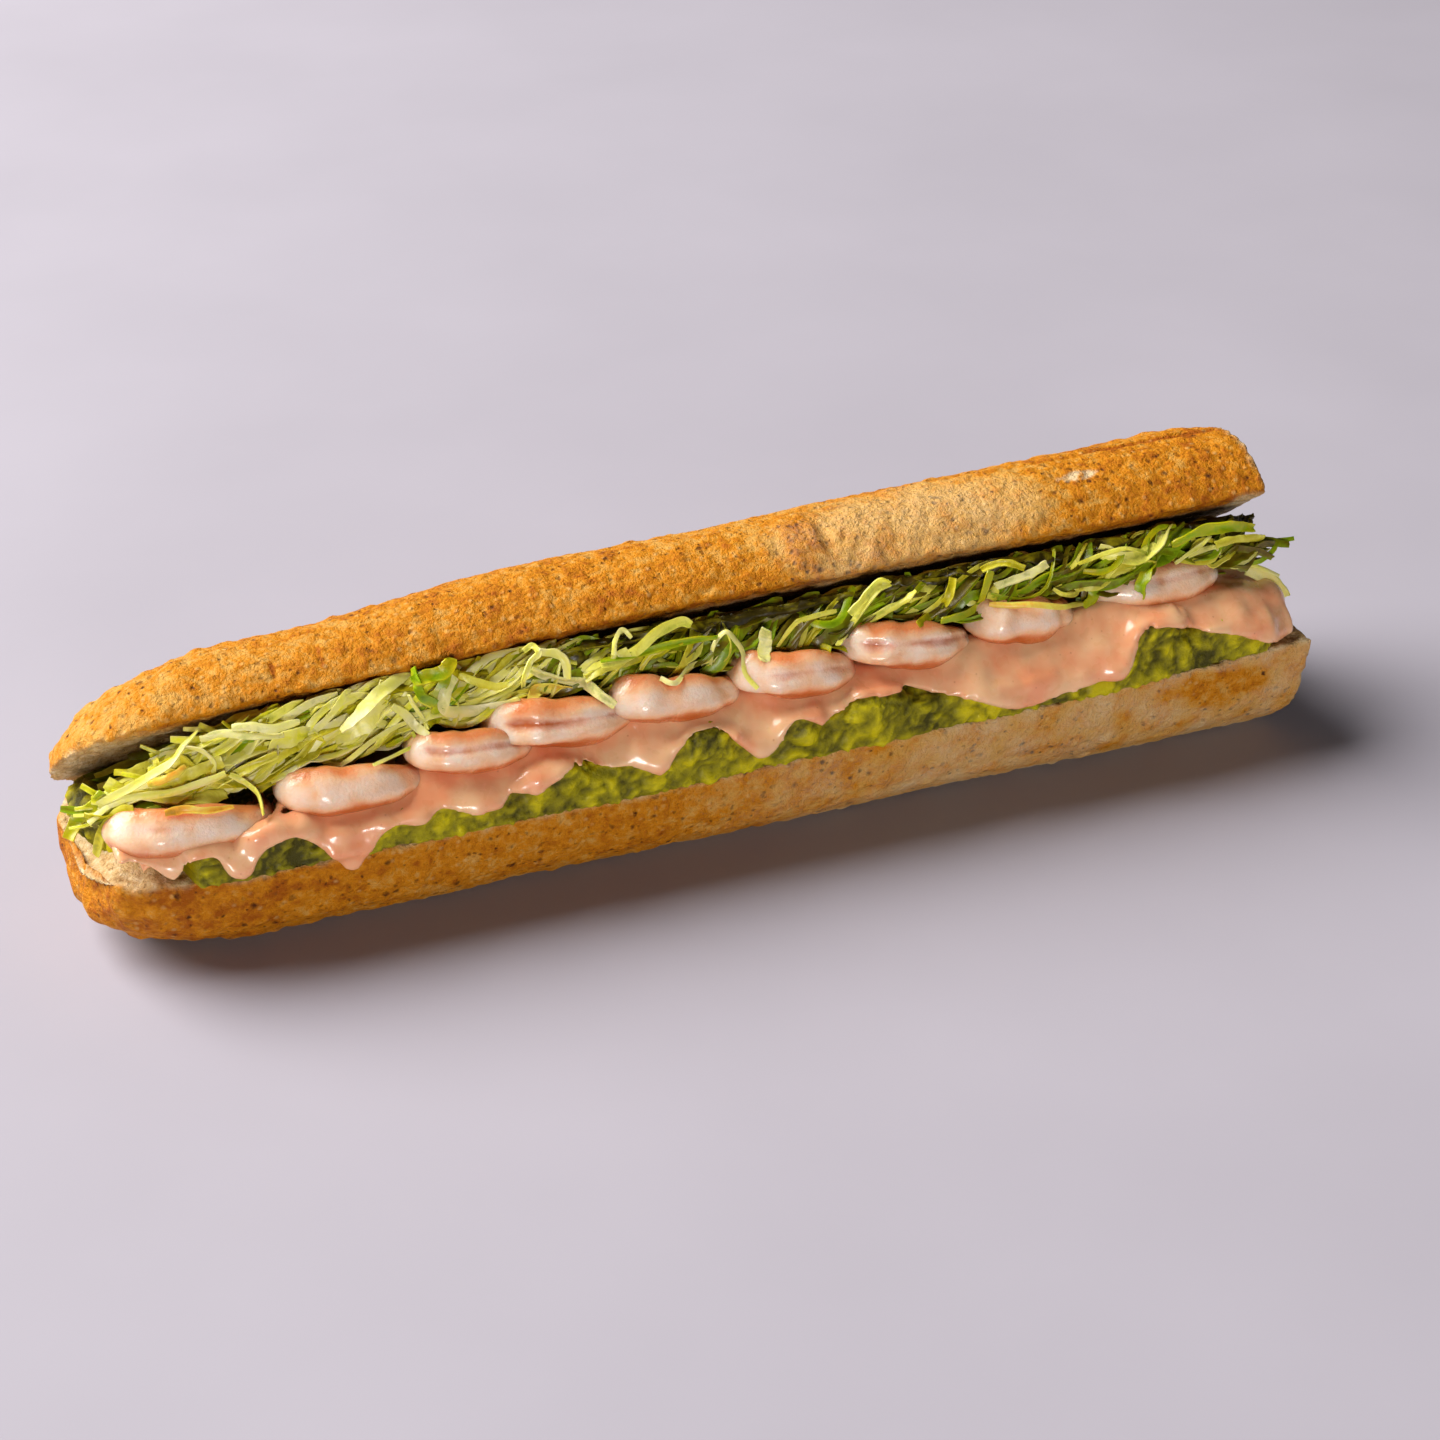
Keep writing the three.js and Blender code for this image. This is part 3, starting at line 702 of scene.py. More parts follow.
def avocado_material():
    """Mashed ripe avocado: buttery, moist, yellow green lumps with darker hollows; the lighter tops and
    darker hollows are partly painted light and shade.
    """
    look = settings("avocado")
    m = new_material("mashed_avocado")
    place = add(m, "TexCoord").outputs["Object"]
    lump = add(m, "Attribute", {"attribute_name": "lump"}).outputs["Fac"]
    # patches of riper flesh about 10 mm across, and fibres about 1 mm
    ripe = add(m, "TexNoise", {"Scale": 100, "Detail": 3, "Roughness": 0.5}, {"Vector": place})
    fine = add(m, "TexNoise", {"Scale": 950, "Detail": 5, "Roughness": 0.7}, {"Vector": place})
    # painted light and shade: the tone follows the height of the lumps, lighter on their tops and darker in
    # their hollows
    tone = add(m, "Math", {"operation": "MULTIPLY_ADD", 1: 0.7}, {0: ripe, 2: lump})
    tone = add(m, "Math", {"operation": "MULTIPLY_ADD", 1: 0.55}, {0: fine, 2: tone})
    tone = add(m, "Math", {"operation": "SUBTRACT", 1: 0.62}, {0: tone})
    base = add(m, "ValToRGB", {"stops": ((0, look.dark), (0.42, look.middle), (0.9, look.bright))}, {0: tone})
    rough = add(m, "MapRange", {"To Min": 0.25, "To Max": 0.55}, {"Value": fine})
    return surface(m, {
        "IOR": 1.42, "Specular IOR Level": 0.3, "Coat Weight": 0.03, "Coat Roughness": 0.2,
        "Subsurface Weight": 0.12, "Subsurface Radius": (0.8, 0.8, 0.1), "Subsurface Scale": 0.002,
    }, base, rough, fine, 0.7, 0.0008)


class BAGUETTE_OT_avocado(bpy.types.Operator):
    """Spread the mashed avocado"""
    bl_idname = "baguette.avocado"
    bl_label = "Avocado"

    def execute(self, context):
        look = settings("avocado")
        bm = merged_copy("avocado_mash")
        add_dabs(bm, AVOCADO_DABS)
        piece = object_of("avocado_spread", bm)
        remesh(piece, look.voxel, 6)

        def shape(point, normal):
            bent = point + sway(point, 0.005, 2) * 0.0016
            lobe = abs(ripple(bent, 0.0044, 5)) * 2
            bead = abs(ripple(bent, 0.0021, 6)) * 2
            swell = ripple(point, 0.016, 1)
            # height on the lumps, kept for the painted light and shade of the material
            lump = 0.5 * lobe + 0.4 * bead + 0.35 * swell
            rise = (0.6 * lobe + 0.6 * bead - 0.5) * look.lump + swell * 0.0006
            front = smooth_step(-point.y / MM, 24, 31)
            held = max(0.0, table_value(AVOCADO_REACH, point.x / MM) - point.y / MM) * MM
            moved = normal * rise + Vector((0, held - 0.0002 * front, 0)) + rim_lift(point, 19, 23)
            return moved, (lump,)

        sculpt(piece, shape, ("lump",))
        finish_piece(piece, avocado_material(), "avocado_mash")
        return {"FINISHED"}


# Sauce

def sauce_material():
    """Seafood sauce of mayonnaise and tomato: smooth, dense, glossy, salmon pink."""
    look = settings("sauce")
    m = new_material("seafood_sauce")
    place = add(m, "TexCoord").outputs["Object"]
    # swirls of pink about 11 mm across
    blend = add(m, "TexNoise", {"Scale": 90, "Detail": 3, "Roughness": 0.5}, {"Vector": place})
    base = add(m, "ValToRGB", {"stops": ((0.36, look.rose), (0.6, look.pink))}, {0: blend})
    # specks of paprika, about 3 mm apart and 0.5 mm across
    specks = add(m, "TexVoronoi", {"Scale": 300}, {"Vector": place})
    dots = add(m, "ValToRGB", {"stops": ((0.04, 0.5), (0.1, 0))}, {0: specks})
    base = add(m, "Mix", {"data_type": "RGBA", 7: look.paprika}, {0: dots, 6: base}).outputs[2]
    # slick and dull spots about 4 mm across
    slick = add(m, "TexNoise", {"Scale": 260, "Detail": 2}, {"Vector": place})
    rough = add(m, "MapRange", {"To Min": 0.16, "To Max": 0.42}, {"Value": slick})
    return surface(m, {
        "IOR": 1.46, "Coat Weight": 0.45, "Coat Roughness": 0.1,
        "Subsurface Weight": 0.3, "Subsurface Radius": (1.0, 0.4, 0.2), "Subsurface Scale": 0.0025,
    }, base, rough, slick, 0.15, 0.0005)


def falling_sauce(bm):
    """The sheet of sauce that runs down from the shrimps, draped on what lies behind it, with full drips."""
    carriers = [made_tree("avocado_spread"), made_tree("bread_lower_half")]
    half_length = 147.5
    brim_line = -22.5
    foot_line = -27.0
    least_height = 3
    skin = 0.7
    thickness = 4.5

    def front(x, z):
        depths = []
        for carrier in carriers:
            place = carrier.ray_cast(Vector((x, -80, z)) * MM, Vector((0, 1, 0)))[0]
            depths.append(place.y / MM if place else 0.0)
        return min(depths)

    made = bmesh.ops.create_grid(bm, x_segments=220, y_segments=18, size=1)["verts"]
    for vertex in made:
        x = -half_length + half_length * (vertex.co.x + 1)
        share = (vertex.co.y + 1) / 2
        brim = table_value(SAUCE_BRIM, x)
        foot = min(table_value(SAUCE_EDGE, x) - 0.5, brim - least_height)
        z = foot + (brim - foot) * share
        under = [min(foot_line, front(x + step, foot + 1)) for step in (-4, -2, 0, 2, 4)]
        behind = sum(under) / 5 - 1.2
        # a drip hangs lower than the edge on both sides of it, and is fullest near its end
        drip = smooth_step((table_value(SAUCE_EDGE, x - 8) + table_value(SAUCE_EDGE, x + 8)) / 2 - foot, 0, 6)
        full = 0.9 * drip * bell(z - foot - 3, 2.6)
        y = behind + (brim_line - behind) * share ** 1.7 - full
        y = min(y, min(front(x + step, z) for step in (-2.4, -1.2, 0, 1.2, 2.4)) - skin)
        vertex.co = Vector((x, y, z)) * MM
    faces = {face for vertex in made for face in vertex.link_faces}
    moved = bmesh.ops.extrude_face_region(bm, geom=list(faces))["geom"]
    moved = [item for item in moved if isinstance(item, bmesh.types.BMVert)]
    bmesh.ops.translate(bm, verts=moved, vec=(0, thickness * MM, 0))
    bmesh.ops.recalc_face_normals(bm, faces=bm.faces)


class BAGUETTE_OT_sauce(bpy.types.Operator):
    """Pour the sauce"""
    bl_idname = "baguette.sauce"
    bl_label = "Sauce"

    def execute(self, context):
        look = settings("sauce")
        bm = merged_copy("cocktail_sauce")
        for vertex in bm.verts:
            vertex.co.y = max(vertex.co.y, SAUCE_FRONT * MM)
        add_dabs(bm, SAUCE_LUMPS)
        falling_sauce(bm)
        piece = object_of("sauce_flow", bm)
        remesh(piece, look.voxel, 11)

        def shape(point, normal):
            waves = ripple(point, 0.013, 1) * 0.001 + ripple(point, 0.0055, 2) * 0.0005
            return normal * (look.swell + waves), ()

        sculpt(piece, shape)
        finish_piece(piece, sauce_material(), "cocktail_sauce")
        return {"FINISHED"}


# Shrimps

def shrimp_material():
    """Cooked peeled shrimp: wet, half clear, white where it is thick, pink outside, orange in its cuts; the
    white is partly a painted highlight where the curl faces up and forward, the orange on the underside is
    partly painted shade, and the orange in the hollows is painted shade.
    """
    look = settings("shrimp")
    m = new_material("cooked_shrimp_flesh")
    place = add(m, "TexCoord").outputs["Object"]
    blush, cut = (add(m, "Attribute", {"attribute_name": name}).outputs["Fac"] for name in ("blush", "cut"))
    # clouds of pink about 6 mm across, and muscle fibres about 0.7 mm
    cloud = add(m, "TexNoise", {"Scale": 170, "Detail": 3, "Roughness": 0.5}, {"Vector": place})
    fibre = add(m, "TexNoise", {"Scale": 1400, "Detail": 3, "Roughness": 0.6}, {"Vector": place})
    share = add(m, "Math", {"operation": "MULTIPLY_ADD", 1: 1.3}, {0: cloud, 2: blush})
    share = add(m, "Math", {"operation": "SUBTRACT", 1: 0.52}, {0: share})
    base = add(m, "ValToRGB", {"stops": ((0, look.flesh), (0.4, look.peach), (0.95, look.blush))}, {0: share})
    edge = add(m, "Math", {"operation": "MULTIPLY"}, {0: cut, 1: cloud})
    edge = add(m, "ValToRGB", {"stops": ((0.12, 0), (0.55, 0.95))}, {0: edge})
    base = add(m, "Mix", {"data_type": "RGBA", 7: look.vein}, {0: edge, 6: base}).outputs[2]
    rough = add(m, "MapRange", {"To Min": 0.16, "To Max": 0.42}, {"Value": cloud})
    return surface(m, {
        "IOR": 1.4, "Coat Weight": 0.5, "Coat Roughness": 0.13,
        "Subsurface Weight": 0.6, "Subsurface Radius": (1.0, 0.6, 0.4), "Subsurface Scale": 0.004,
    }, base, rough, fibre, 0.5, 0.0005)


def curled_shrimp(name, node, way, grain):
    """A peeled tail curled on its side: blunt at the left, its thin right end dipping into the sauce."""
    look = settings("shrimp")
    groove, lobes, narrowing, pitch, hollow = way
    low, high = (Vector(corner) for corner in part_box(node))
    middle = (low + high) / 2
    size = high - low
    bm = bmesh.new()
    bmesh.ops.create_uvsphere(bm, u_segments=36, v_segments=46, radius=1)
    blush = bm.verts.layers.float.new("blush")
    cut = bm.verts.layers.float.new("cut")
    thick = size.z * 0.6
    stout = min(size.z * 0.56, size.y * 0.29)
    sweep = math.radians(100)
    across = size.x / 2 - stout * 0.5
    deep = (size.y - 1.6 * stout) / (1 - math.cos(sweep))
    sunk = 1.3 * MM
    dip = 2.2 * MM
    hollow_depth = 3 * MM
    groove_at = math.radians(grain.uniform(28, 40))
    seed = grain.uniform(0, 90)
    for vertex in bm.verts:
        along = math.acos(max(-1, min(1, -vertex.co.z))) / math.pi
        around = math.atan2(vertex.co.y, vertex.co.x)
        turn = sweep * (2 * along - 1)
        # the body: blunt at both ends, ringed by shallow seams between its segments
        girth = 1.0 - narrowing * smooth_step(along, 0.38, 0.95) - 0.1 * (1 - smooth_step(along, 0.05, 0.3))
        head = max(0.0, 1 - (max(0.0, 0.16 - along) / 0.16) ** 2.2) ** 0.5
        tail = max(0.0, 1 - (max(0.0, along - 0.84) / 0.16) ** 2.0) ** 0.5
        ring = (along * look.segments + 0.3 * math.sin(around * 0.5) + 0.2 * wave(around, seed, 2)) % 1
        seam = bell(min(ring, 1 - ring), 0.14)
        # the slit along the back, with a lip on each side
        aside = around - groove_at - 0.22 * wave(along * 5, seed, 4)
        offset = math.atan2(math.sin(aside), math.cos(aside))
        opened = smooth_step(along, 0.15, 0.32) * (1 - smooth_step(along, 0.66, 0.9)) * groove
        opened *= max(0.0, 0.75 + 0.9 * wave(along * 8, seed, 9))
        slit = bell(offset, 0.2) * opened
        lips = bell(abs(offset) - 0.6, 0.34) * opened
        swell = 1 - 0.03 * seam + 0.1 * (1 + 0.5 * lobes) * wave(along * 4.5, around * 0.8, seed)
        swell += 0.03 * wave(along * 12, around * 2.2, seed) + 0.06 * lips
        swell -= 0.12 * lobes * bell(along - 0.45, 0.04)
        swell -= 0.1 * lobes * bell(along - 0.66, 0.04)
        reach = girth * min(head, tail) * swell
        outward = Vector((math.sin(turn), -math.cos(turn), 0))
        width = stout * reach - look.groove * slit * max(0.0, math.cos(offset))
        height = thick * reach - look.groove * slit * 0.6
        # the curl lies flat, and its right end dips
        side = math.copysign(abs(math.sin(turn)) ** 0.75, turn)
        back = 1 - math.copysign(abs(math.cos(turn)) ** 0.5, math.cos(turn))
        spine = Vector((middle.x + across * side, low.y + stout + deep * back, middle.z - sunk))
        lift = -pitch * (spine.x - middle.x) - dip * smooth_step(along, 0.45, 0.95)
        round_off = 1 - 0.08 * abs(math.sin(2 * around))
        vertex.co = spine + outward * (width * math.cos(around) * round_off)
        vertex.co.z += height * math.sin(around) * round_off + lift
        # painted shade: the hollow under the left half takes the orange of the cut, as shade in the crevice
        tuck = smooth_step(-math.sin(around), 0.05, 0.8) * (1 - smooth_step(along, 0.3, 0.55)) * hollow
        vertex.co.z += hollow_depth * tuck
        # pink away from the white back, which faces up and forward and is partly its own white flesh and
        # partly a painted highlight; pink also at the seams, on the upper lip and at both ends
        away = abs(math.atan2(math.sin(around - 0.45), math.cos(around - 0.45)))
        ends = 0.35 * smooth_step(along, 0.5, 0.95) + 0.15 * (1 - smooth_step(along, 0.05, 0.2))
        vertex[blush] = 0.85 * smooth_step(away, 0.2, 1.15) + 0.12 * seam + 0.3 * lips * (offset > 0) + ends
        # the cut takes the vein orange in the slit; on the underside it is partly the real orange band and
        # partly painted shade, and in the hollow it is painted shade
        vertex[cut] = min(1.0, 1.2 * slit + 0.8 * tuck + 0.9 * smooth_step(-math.sin(around), 0.0, 0.65))
    bmesh.ops.recalc_face_normals(bm, faces=bm.faces)
    piece = object_of(name, bm)
    step = piece.modifiers.new("Round", "SUBSURF")
    step.levels = 1
    step.render_levels = 1
    return piece


class BAGUETTE_OT_shrimps(bpy.types.Operator):
    """Lay the row of curled shrimps"""
    bl_idname = "baguette.shrimps"
    bl_label = "Shrimps"

    def execute(self, context):
        flesh = shrimp_material()
        grain = random.Random(SHRIMP_SEED)
        for node, way in zip(SHRIMP_NAMES, SHRIMP_WAYS):
            piece = curled_shrimp("curled_" + node, node, way, grain)
            finish_piece(piece, flesh, node)
        return {"FINISHED"}


# Lettuce

def lettuce_material(name, tone, rib, clear):
    """Shredded iceberg lettuce: thin, crisp, wet and half clear, paler along its veins."""
    m = new_material(name)
    place = add(m, "TexCoord").outputs["Object"]
    share = add(m, "Attribute", {"attribute_name": "shade"}).outputs["Fac"]
    # veins, about 3 mm apart
    vein = add(m, "TexNoise", {"Scale": 330, "Detail": 4, "Roughness": 0.6, "Distortion": 1.2}, {
        "Vector": place})
    mix = add(m, "Math", {"operation": "MULTIPLY_ADD", 1: 0.7}, {0: vein, 2: share})
    dark = (tone[0] * 0.45, tone[1] * 0.52, tone[2] * 0.3)
    base = add(m, "ValToRGB", {"stops": ((0.22, dark), (0.5, tone), (0.95, rib))}, {0: mix})
    rough = add(m, "MapRange", {"To Min": 0.25, "To Max": 0.5}, {"Value": vein})
    return surface(m, {
        "IOR": 1.4, "Coat Weight": 0.15, "Coat Roughness": 0.2,
        "Subsurface Weight": clear, "Subsurface Radius": (0.8, 1.0, 0.2), "Subsurface Scale": 0.003,
    }, base, rough, vein, 0.4, 0.0005)


def path_point(points, share):
    """Place on a smooth path through the points."""
    spans = len(points) - 1
    at = min(share * spans, spans - 1e-6)
    span = int(at)
    t = at - span
    b, c = points[span], points[span + 1]
    a = points[span - 1] if span else b * 2 - c
    d = points[span + 2] if span + 2 <= spans else c * 2 - b
    straight = b * 2 + (c - a) * t
    bend = (a * 2 - b * 5 + c * 4 - d) * t * t
    return 0.5 * (straight + bend + (b * 3 - a - c * 3 + d) * t ** 3)


class Clearance:
    """Keeps shreds under the upper half, and out of the lower half, shrimps, sauce and avocado."""

    def __init__(self):
        names = ["bread_bottom", "cocktail_sauce", "avocado_mash"] + SHRIMP_NAMES
        self.boxes = [(tree_of(name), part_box(name)) for name in names]
        bm = merged_copy("bread_top")
        crust = [face for face in bm.faces if not upper_cut(Vector(), face.normal)]
        bmesh.ops.delete(bm, geom=crust, context="FACES")
        self.lid = BVHTree.FromBMesh(bm)
        bm.free()

    def settle(self, point, gap, lid_gap):
        """The point moved out of what it lies in, up to 8 mm, and away from the upper half."""
        for tree, (low, high) in self.boxes:
            if not all(low[k] - gap < point[k] < high[k] + gap for k in range(3)):
                continue
            place, facing, _, distance = tree.find_nearest(point)
            outside = (point - place).dot(facing)
            if outside < gap and distance < 8 * MM:
                point = place + facing * gap
        place, facing, _, _ = self.lid.find_nearest(point)
        below = (point - place).dot(facing)
        if below < lid_gap:
            point = point + facing * (lid_gap - below)
        return point

    def free_route(self, points, gap):
        """The route settled point by point, then moved down as a whole until it clears the upper half."""
        points = [self.settle(point, 1 * MM, -1) for point in points]
        room = 1.0
        for point in points:
            place, facing, _, _ = self.lid.find_nearest(point)
            room = min(room, (point - place).dot(facing) - gap)
        return [point - facing * room for point in points] if room < 0 else points


def shred(bm, points, width, grain, clearance, steps, sides, lid_gap):
    """One curved ribbon of leaf through the points, cupped, twisted and ruffled."""
    shade = bm.verts.layers.float["shade"]
    made = bmesh.ops.create_grid(bm, x_segments=steps, y_segments=sides, size=1)["verts"]
    seed = grain.uniform(0, 500)
    own = grain.uniform(-0.16, 0.16)
    fade = grain.uniform(-0.3, 0.3)
    cup = grain.uniform(-0.45, 0.45)
    twist = grain.uniform(-0.8, 0.8)
    roll = grain.uniform(-0.6, 0.6)
    ruffle = grain.uniform(0.08, 0.3)
    taper = grain.uniform(0.6, 1.0)
    for vertex in made:
        share = (vertex.co.x + 1) / 2
        side = vertex.co.y
        here = path_point(points, share)
        ahead = path_point(points, min(1.0, share + 0.02)) - path_point(points, max(0.0, share - 0.02))
        ahead.normalize()
        across = ahead.cross(LEAF_FACING).normalized()
        across = Quaternion(ahead, roll + twist * (share - 0.5) * 2) @ across
        out = across.cross(ahead)
        wobble = 1 + 0.3 * wave(share * 6, seed, side)
        half = width / 2 * wobble * (taper + (1 - taper) * math.sin(math.pi * share) ** 0.5)
        edge = side * wave(share * 7, seed, side * 0.6) * ruffle
        place = here + across * side * half + out * (cup * side * side * half + edge * width)
        vertex.co = clearance.settle(place, 0.5 * MM, lid_gap)
        tint = 0.22 + own + fade * (share - 0.5) + 0.12 * side * side
        vertex[shade] = tint + 0.3 * wave(share * 3, seed, side * 0.5)
    for edge in {edge for vertex in made for edge in vertex.link_edges}:
        edge.smooth = not edge.is_boundary


def wall_point(x, rise, lift):
    """A place on the front of the heap: along the loaf, above the shrimps, and proud of the heap, in mm."""
    back = 0.3 * rise + 0.7 * max(0.0, rise - 5) * smooth_step(x, -90, -30)
    return Vector((x, -19.5 + back - lift, table_value(HEAP_FOOT, x) + rise)) * MM


def heap_core():
    """The shaded inside of the heap, folded and drawn in behind the shreds."""
    core = object_of("lettuce_core", merged_copy("lettuce_heap"))
    remesh(core, 1.5 * MM, 3)

    def shape(point, normal):
        x = point.x / MM
        fold = 1 - abs(wave(point.x / 0.007, point.y / 0.0025, point.z / 0.0022)) * 2
        rise = -0.0042 + fold * 0.0016 + ripple(point, 0.004, 3) * 0.001
        # its thin left end is pressed inwards along the loaf
        held = 0.9 * max(0.0, -129 * MM - point.x)
        # painted light and shade: darker in the creases of the folds, and lighter on the left half, where
        # light reaches the heap, though less at the very tip
        sunlit = 0.7 * (1 - smooth_step(x, -80, -30)) * (0.3 + 0.7 * smooth_step(x, -130, -112))
        return normal * rise + Vector((held, 0, 0)), (0.3 * fold + 0.2 * ripple(point, 0.01, 4) + sunlit,)

    sculpt(core, shape, ("shade",))
    return core


def filling_shred(heaps, number, count, clearance, grain):
    """One of the shreds between the placed ones, which rise to the right and are painted brighter on the
    left, where light reaches them, and darker on the right, in the shade of the upper half.
    """
    layer = number / count
    x = grain.uniform(-146, 142) if number % 4 else grain.uniform(-140, -50)
    bright = 1 - smooth_step(x, -70, -10)
    # painted light and shade: the lit lime and pale kinds on the left, the dark deep kind on the right and
    # deep in the heap
    if grain.random() < bright:
        kinds = ("white", "cream", "pale", "lime", "leaf", "green", "deep")
        weights = (0.4 * layer, 1.2 * layer, 2.4, 7, 1.6, 1, 0.8 * (1 - layer))
    else:
        kinds = ("cream", "pale", "leaf", "green", "deep")
        weights = (0.5 * layer, 0.8 * layer, 1.6, 1.8, 5)
    kind = grain.choices(kinds, weights)[0]
    span = grain.uniform(9, 30)
    tilt = math.radians(grain.gauss(30 - 14 * bright, 17 - 6 * bright))
    top = table_value(HEAP_RISE, x)
    rise = grain.uniform(-0.5, top)
    depth = -5 + 5.6 * layer + grain.uniform(-0.8, 0.8) - 0.12 * rise
    bend = grain.gauss(0, 0.38)
    route = []
    for place in range(5):
        share = place / 4 - 0.5
        turn = tilt + bend * share * 2
        height = rise + span * share * math.sin(turn) + grain.uniform(-0.3, 0.3)
        height = min(top + 1, max(-1.0, height))
        bow = 1.2 * (1 - 4 * share * share) + grain.uniform(-0.4, 0.4)
        route.append(wall_point(x + span * share * math.cos(turn), height, depth + bow))
    route = clearance.free_route(route, 0.0007 + 0.0022 * (1 - bright))
    width = min(3.8, grain.lognormvariate(0.55, 0.38)) * MM
    shred(heaps[kind], route, width, grain, clearance, 12, 2, LID_GAP)


def end_shred(heaps, end, reach, top, clearance, grain):
    """One of the shreds that stick out of the heap at an end of the loaf, sagging a little."""
    kind = grain.choices(("pale", "leaf", "green", "deep"), (2, 3, 2, 4))[0]
    y = grain.uniform(-16, 19)
    z = grain.uniform(31, top)
    out = reach * grain.uniform(0.3, 1.1)
    route = []
    for place in range(4):
        share = place / 3
        x = end - 1.2 * reach + (1.2 * reach + out) * share
        aside = grain.uniform(-1, 1)
        route.append(Vector((x, y + aside, z + grain.uniform(-1, 1) - 2.5 * share * share)) * MM)
    route = clearance.free_route(route, 1 * MM)
    shred(heaps[kind], route, grain.uniform(1.4, 3.6) * MM, grain, clearance, 10, 2, LID_GAP)


class BAGUETTE_OT_lettuce(bpy.types.Operator):
    """Heap the shredded lettuce"""
    bl_idname = "baguette.lettuce"
    bl_label = "Lettuce"

    def execute(self, context):
        look = settings("lettuce")
        core = heap_core()
        kinds = {
            "white": (look.rib, look.pale, 0.4),
            "cream": (look.pale, look.rib, 0.25),
            "pale": (look.pale, look.leaf, 0.35),
            "leaf": (look.leaf, look.pale, 0.2),
            "green": (look.green, look.leaf, 0.2),
            "deep": (look.deep, look.green, 0.15),
            "lime": (look.lime, look.rib, 0.45),
            "warm": (look.warm, look.pale, 0.2),
        }
        materials = {kind: lettuce_material("iceberg_" + kind, *tones) for kind, tones in kinds.items()}
        shade = lettuce_material("iceberg_in_shade", Vector(look.deep) * 0.3, Vector(look.leaf) * 0.7, 0.05)
        finish_piece(core, shade, "lettuce_heap")
        heaps = {kind: bmesh.new() for kind in kinds}
        for heap in heaps.values():
            heap.verts.layers.float.new("shade")
        clearance = Clearance()
        grain = random.Random(LETTUCE_SEED)
        for kind, width, points in PLACED_SHREDS:
            route = [Vector(point) * MM for point in points]
            # the twist of a shred makes it look wider than it was read
            slim = 0.72 if kind in ("white", "cream", "warm") else 0.85
            steps = 12 + 4 * len(route)
            shred(heaps[kind], route, width * slim * MM, grain, clearance, steps, 4, PLACED_LID_GAP)
        for number in range(look.fill):
            filling_shred(heaps, number, look.fill, clearance, grain)
        for end, reach, top, count in HEAP_ENDS:
            for _ in range(count):
                end_shred(heaps, end, reach, top, clearance, grain)
        for kind, heap in heaps.items():
            piece = object_of("lettuce_shreds_" + kind, heap)
            step = piece.modifiers.new("Leaf thickness", "SOLIDIFY")
            step.thickness = look.thickness * (1.6 if kind == "white" else 1)
            step.offset = 0
            finish_piece(piece, materials[kind], "lettuce_heap")
        return {"FINISHED"}


# Stage

def table_material():
    """Plain pale table top, matt, with the faintest mottling, about 110 mm across."""
    look = settings("stage")
    m = new_material("pale_table")
    place = add(m, "TexCoord").outputs["Object"]
    mottle = add(m, "TexNoise", {"Scale": 9, "Detail": 4}, {"Vector": place})
    dark = [channel * 0.94 for channel in look.table]
    base = add(m, "ValToRGB", {"stops": ((0.3, dark), (0.7, look.table))}, {0: mottle})
    shader = add(m, "BsdfPrincipled", {"Roughness": 0.8}, {"Base Color": base})
    add(m, "OutputMaterial", {}, {"Surface": shader})
    return m


def area_light(name, place, size, power, tint=(1, 1, 1)):
    """A soft box that faces the sandwich."""
    light = bpy.data.lights.new(name, "AREA")
    light.shape = "DISK"
    light.size = size
    light.energy = power
    light.color = tint
    holder = bpy.data.objects.new(name, light)
    holder.location = place
    holder.visible_camera = False
    holder.rotation_euler = (Vector((0, 0, 0.03)) - Vector(place)).to_track_quat("-Z", "Y").to_euler()
    bpy.context.scene.collection.objects.link(holder)


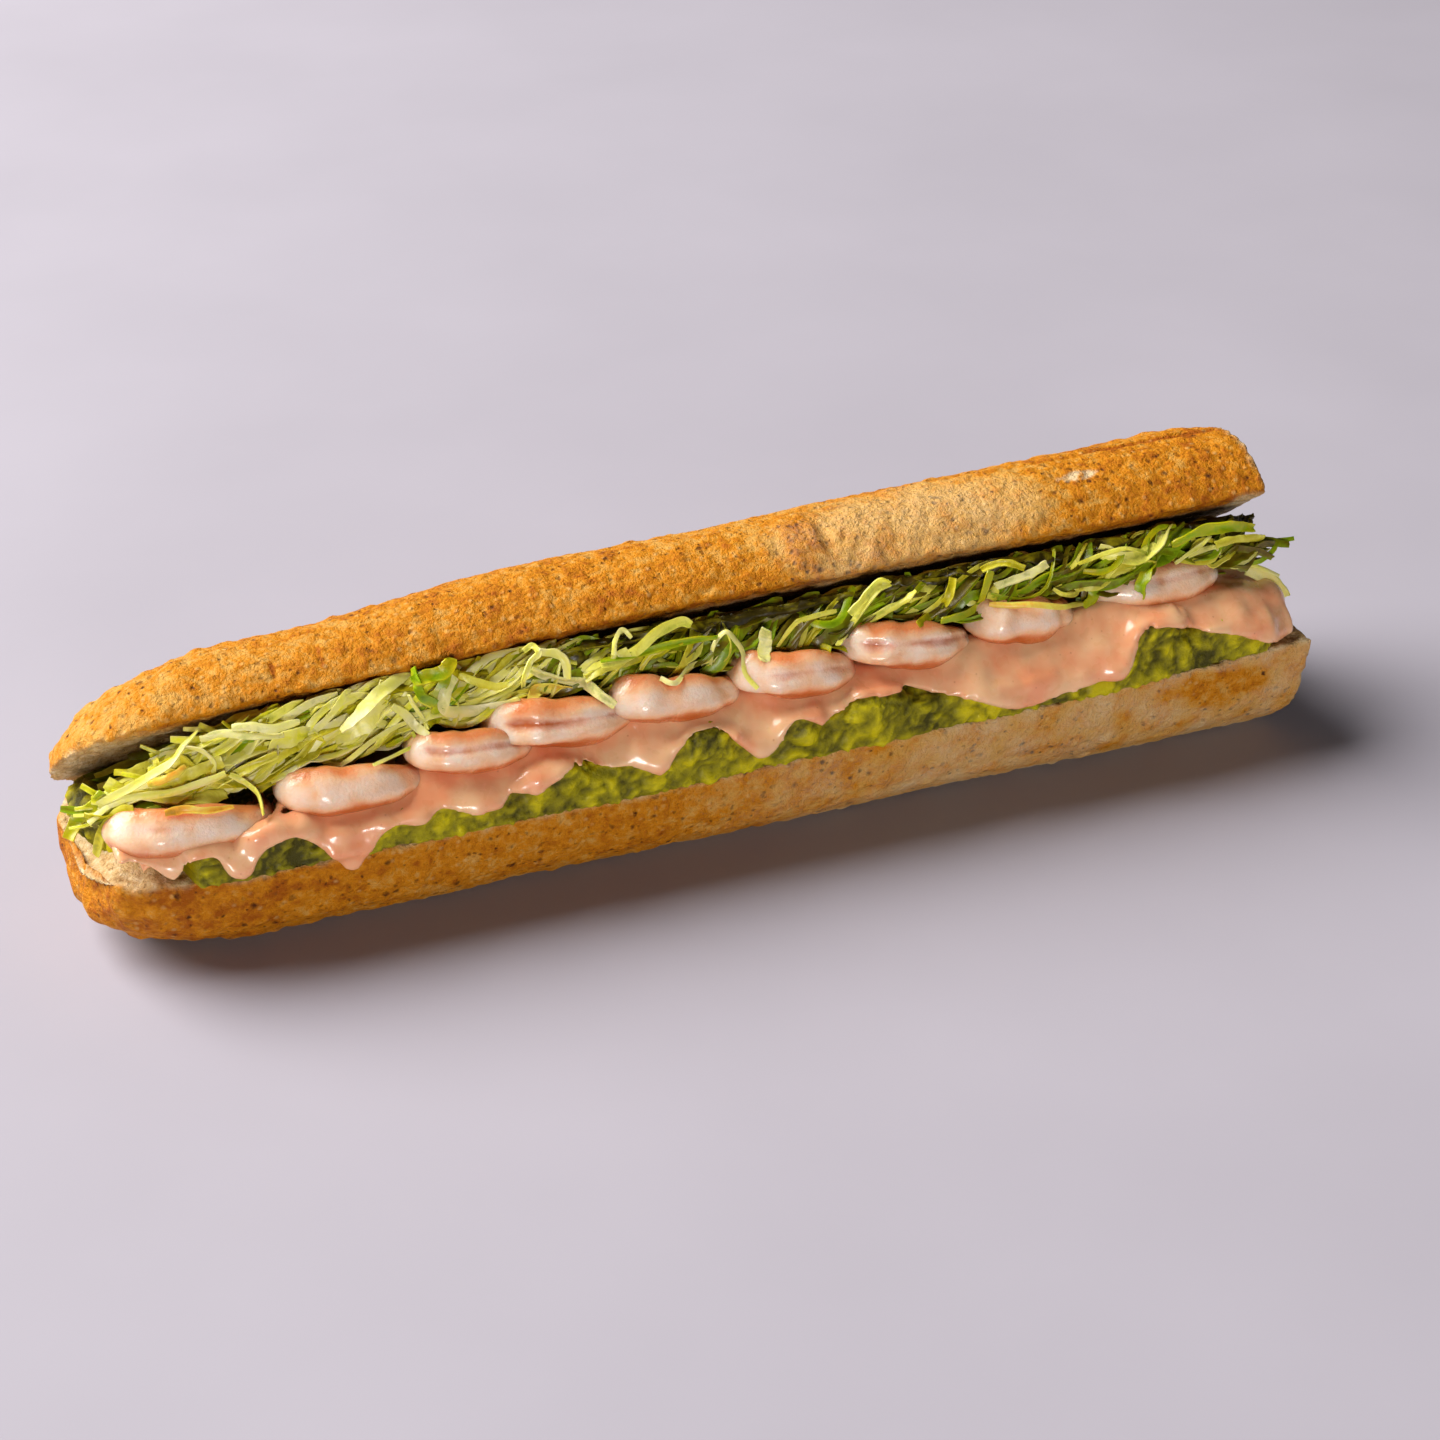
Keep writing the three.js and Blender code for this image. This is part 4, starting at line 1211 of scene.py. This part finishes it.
class BAGUETTE_OT_stage(bpy.types.Operator):
    """Set the table, the lights and the camera"""
    bl_idname = "baguette.stage"
    bl_label = "Stage"

    def execute(self, context):
        look = settings("stage")
        bm = bmesh.new()
        bmesh.ops.create_grid(bm, x_segments=1, y_segments=1, size=4)
        table = object_of("table_top", bm)
        table.data.materials.append(table_material())
        area_light("window", (-1.6, 1.08, 1.95), 2.6, 180, (1.0, 0.99, 0.97))
        area_light("low_card", (-0.8, -3.4, 0.5), 0.9, 56, (1.0, 0.98, 0.97))
        scene = context.scene
        world = bpy.data.worlds.new("soft_room")
        world.use_nodes = True
        sky = world.node_tree.nodes["Background"]
        sky.inputs["Color"].default_value = (0.92, 0.93, 1.0, 1)
        sky.inputs["Strength"].default_value = 0.03
        scene.world = world
        scene.view_settings.view_transform = "Standard"
        lens = bpy.data.cameras.new("camera")
        lens.lens = look.lens
        lens.sensor_width = 36
        lens.clip_start = 0.01
        camera = bpy.data.objects.new("camera", lens)
        level = math.cos(look.elevation)
        side = math.sin(look.azimuth) * level
        front = math.cos(look.azimuth) * level
        back = Vector((side, -front, math.sin(look.elevation)))
        camera.location = Vector(CAMERA_TARGET) * MM + back * look.distance
        camera.rotation_euler = (-back).to_track_quat("-Z", "Y").to_euler()
        scene.collection.objects.link(camera)
        scene.camera = camera
        return {"FINISHED"}


class BAGUETTE_PT_sidebar(bpy.types.Panel):
    """Pieces of the filled baguette"""
    bl_label = "Baguette"
    bl_idname = "BAGUETTE_PT_sidebar"
    bl_space_type = "VIEW_3D"
    bl_region_type = "UI"
    bl_category = "Baguette"

    def draw(self, context):
        for kind, operator in OPERATORS.items():
            box = self.layout.box()
            box.operator(operator.bl_idname)
            group = getattr(context.scene, "baguette_" + kind, None)
            if group is not None:
                for name in group.bl_rna.properties.keys():
                    if name not in ("rna_type", "name"):
                        box.prop(group, name)


SETTINGS = {
    "bread": BreadSettings,
    "avocado": AvocadoSettings,
    "sauce": SauceSettings,
    "shrimp": ShrimpSettings,
    "lettuce": LettuceSettings,
    "stage": StageSettings,
}
OPERATORS = {
    "stage": BAGUETTE_OT_stage,
    "bread": BAGUETTE_OT_bread,
    "avocado": BAGUETTE_OT_avocado,
    "sauce": BAGUETTE_OT_sauce,
    "shrimp": BAGUETTE_OT_shrimps,
    "lettuce": BAGUETTE_OT_lettuce,
}


def register():
    for group in SETTINGS.values():
        bpy.utils.register_class(group)
    for kind, group in SETTINGS.items():
        setattr(bpy.types.Scene, "baguette_" + kind, PointerProperty(type=group))
    for operator in OPERATORS.values():
        bpy.utils.register_class(operator)
    bpy.utils.register_class(BAGUETTE_PT_sidebar)


def unregister():
    bpy.utils.unregister_class(BAGUETTE_PT_sidebar)
    for operator in OPERATORS.values():
        bpy.utils.unregister_class(operator)
    for kind in SETTINGS:
        delattr(bpy.types.Scene, "baguette_" + kind)
    for group in SETTINGS.values():
        bpy.utils.unregister_class(group)


def main():
    register()
    for operator in (bpy.ops.baguette.stage, bpy.ops.baguette.bread, bpy.ops.baguette.avocado,
                     bpy.ops.baguette.sauce, bpy.ops.baguette.shrimps, bpy.ops.baguette.lettuce):
        operator()


if __name__ == "__main__":
    main()
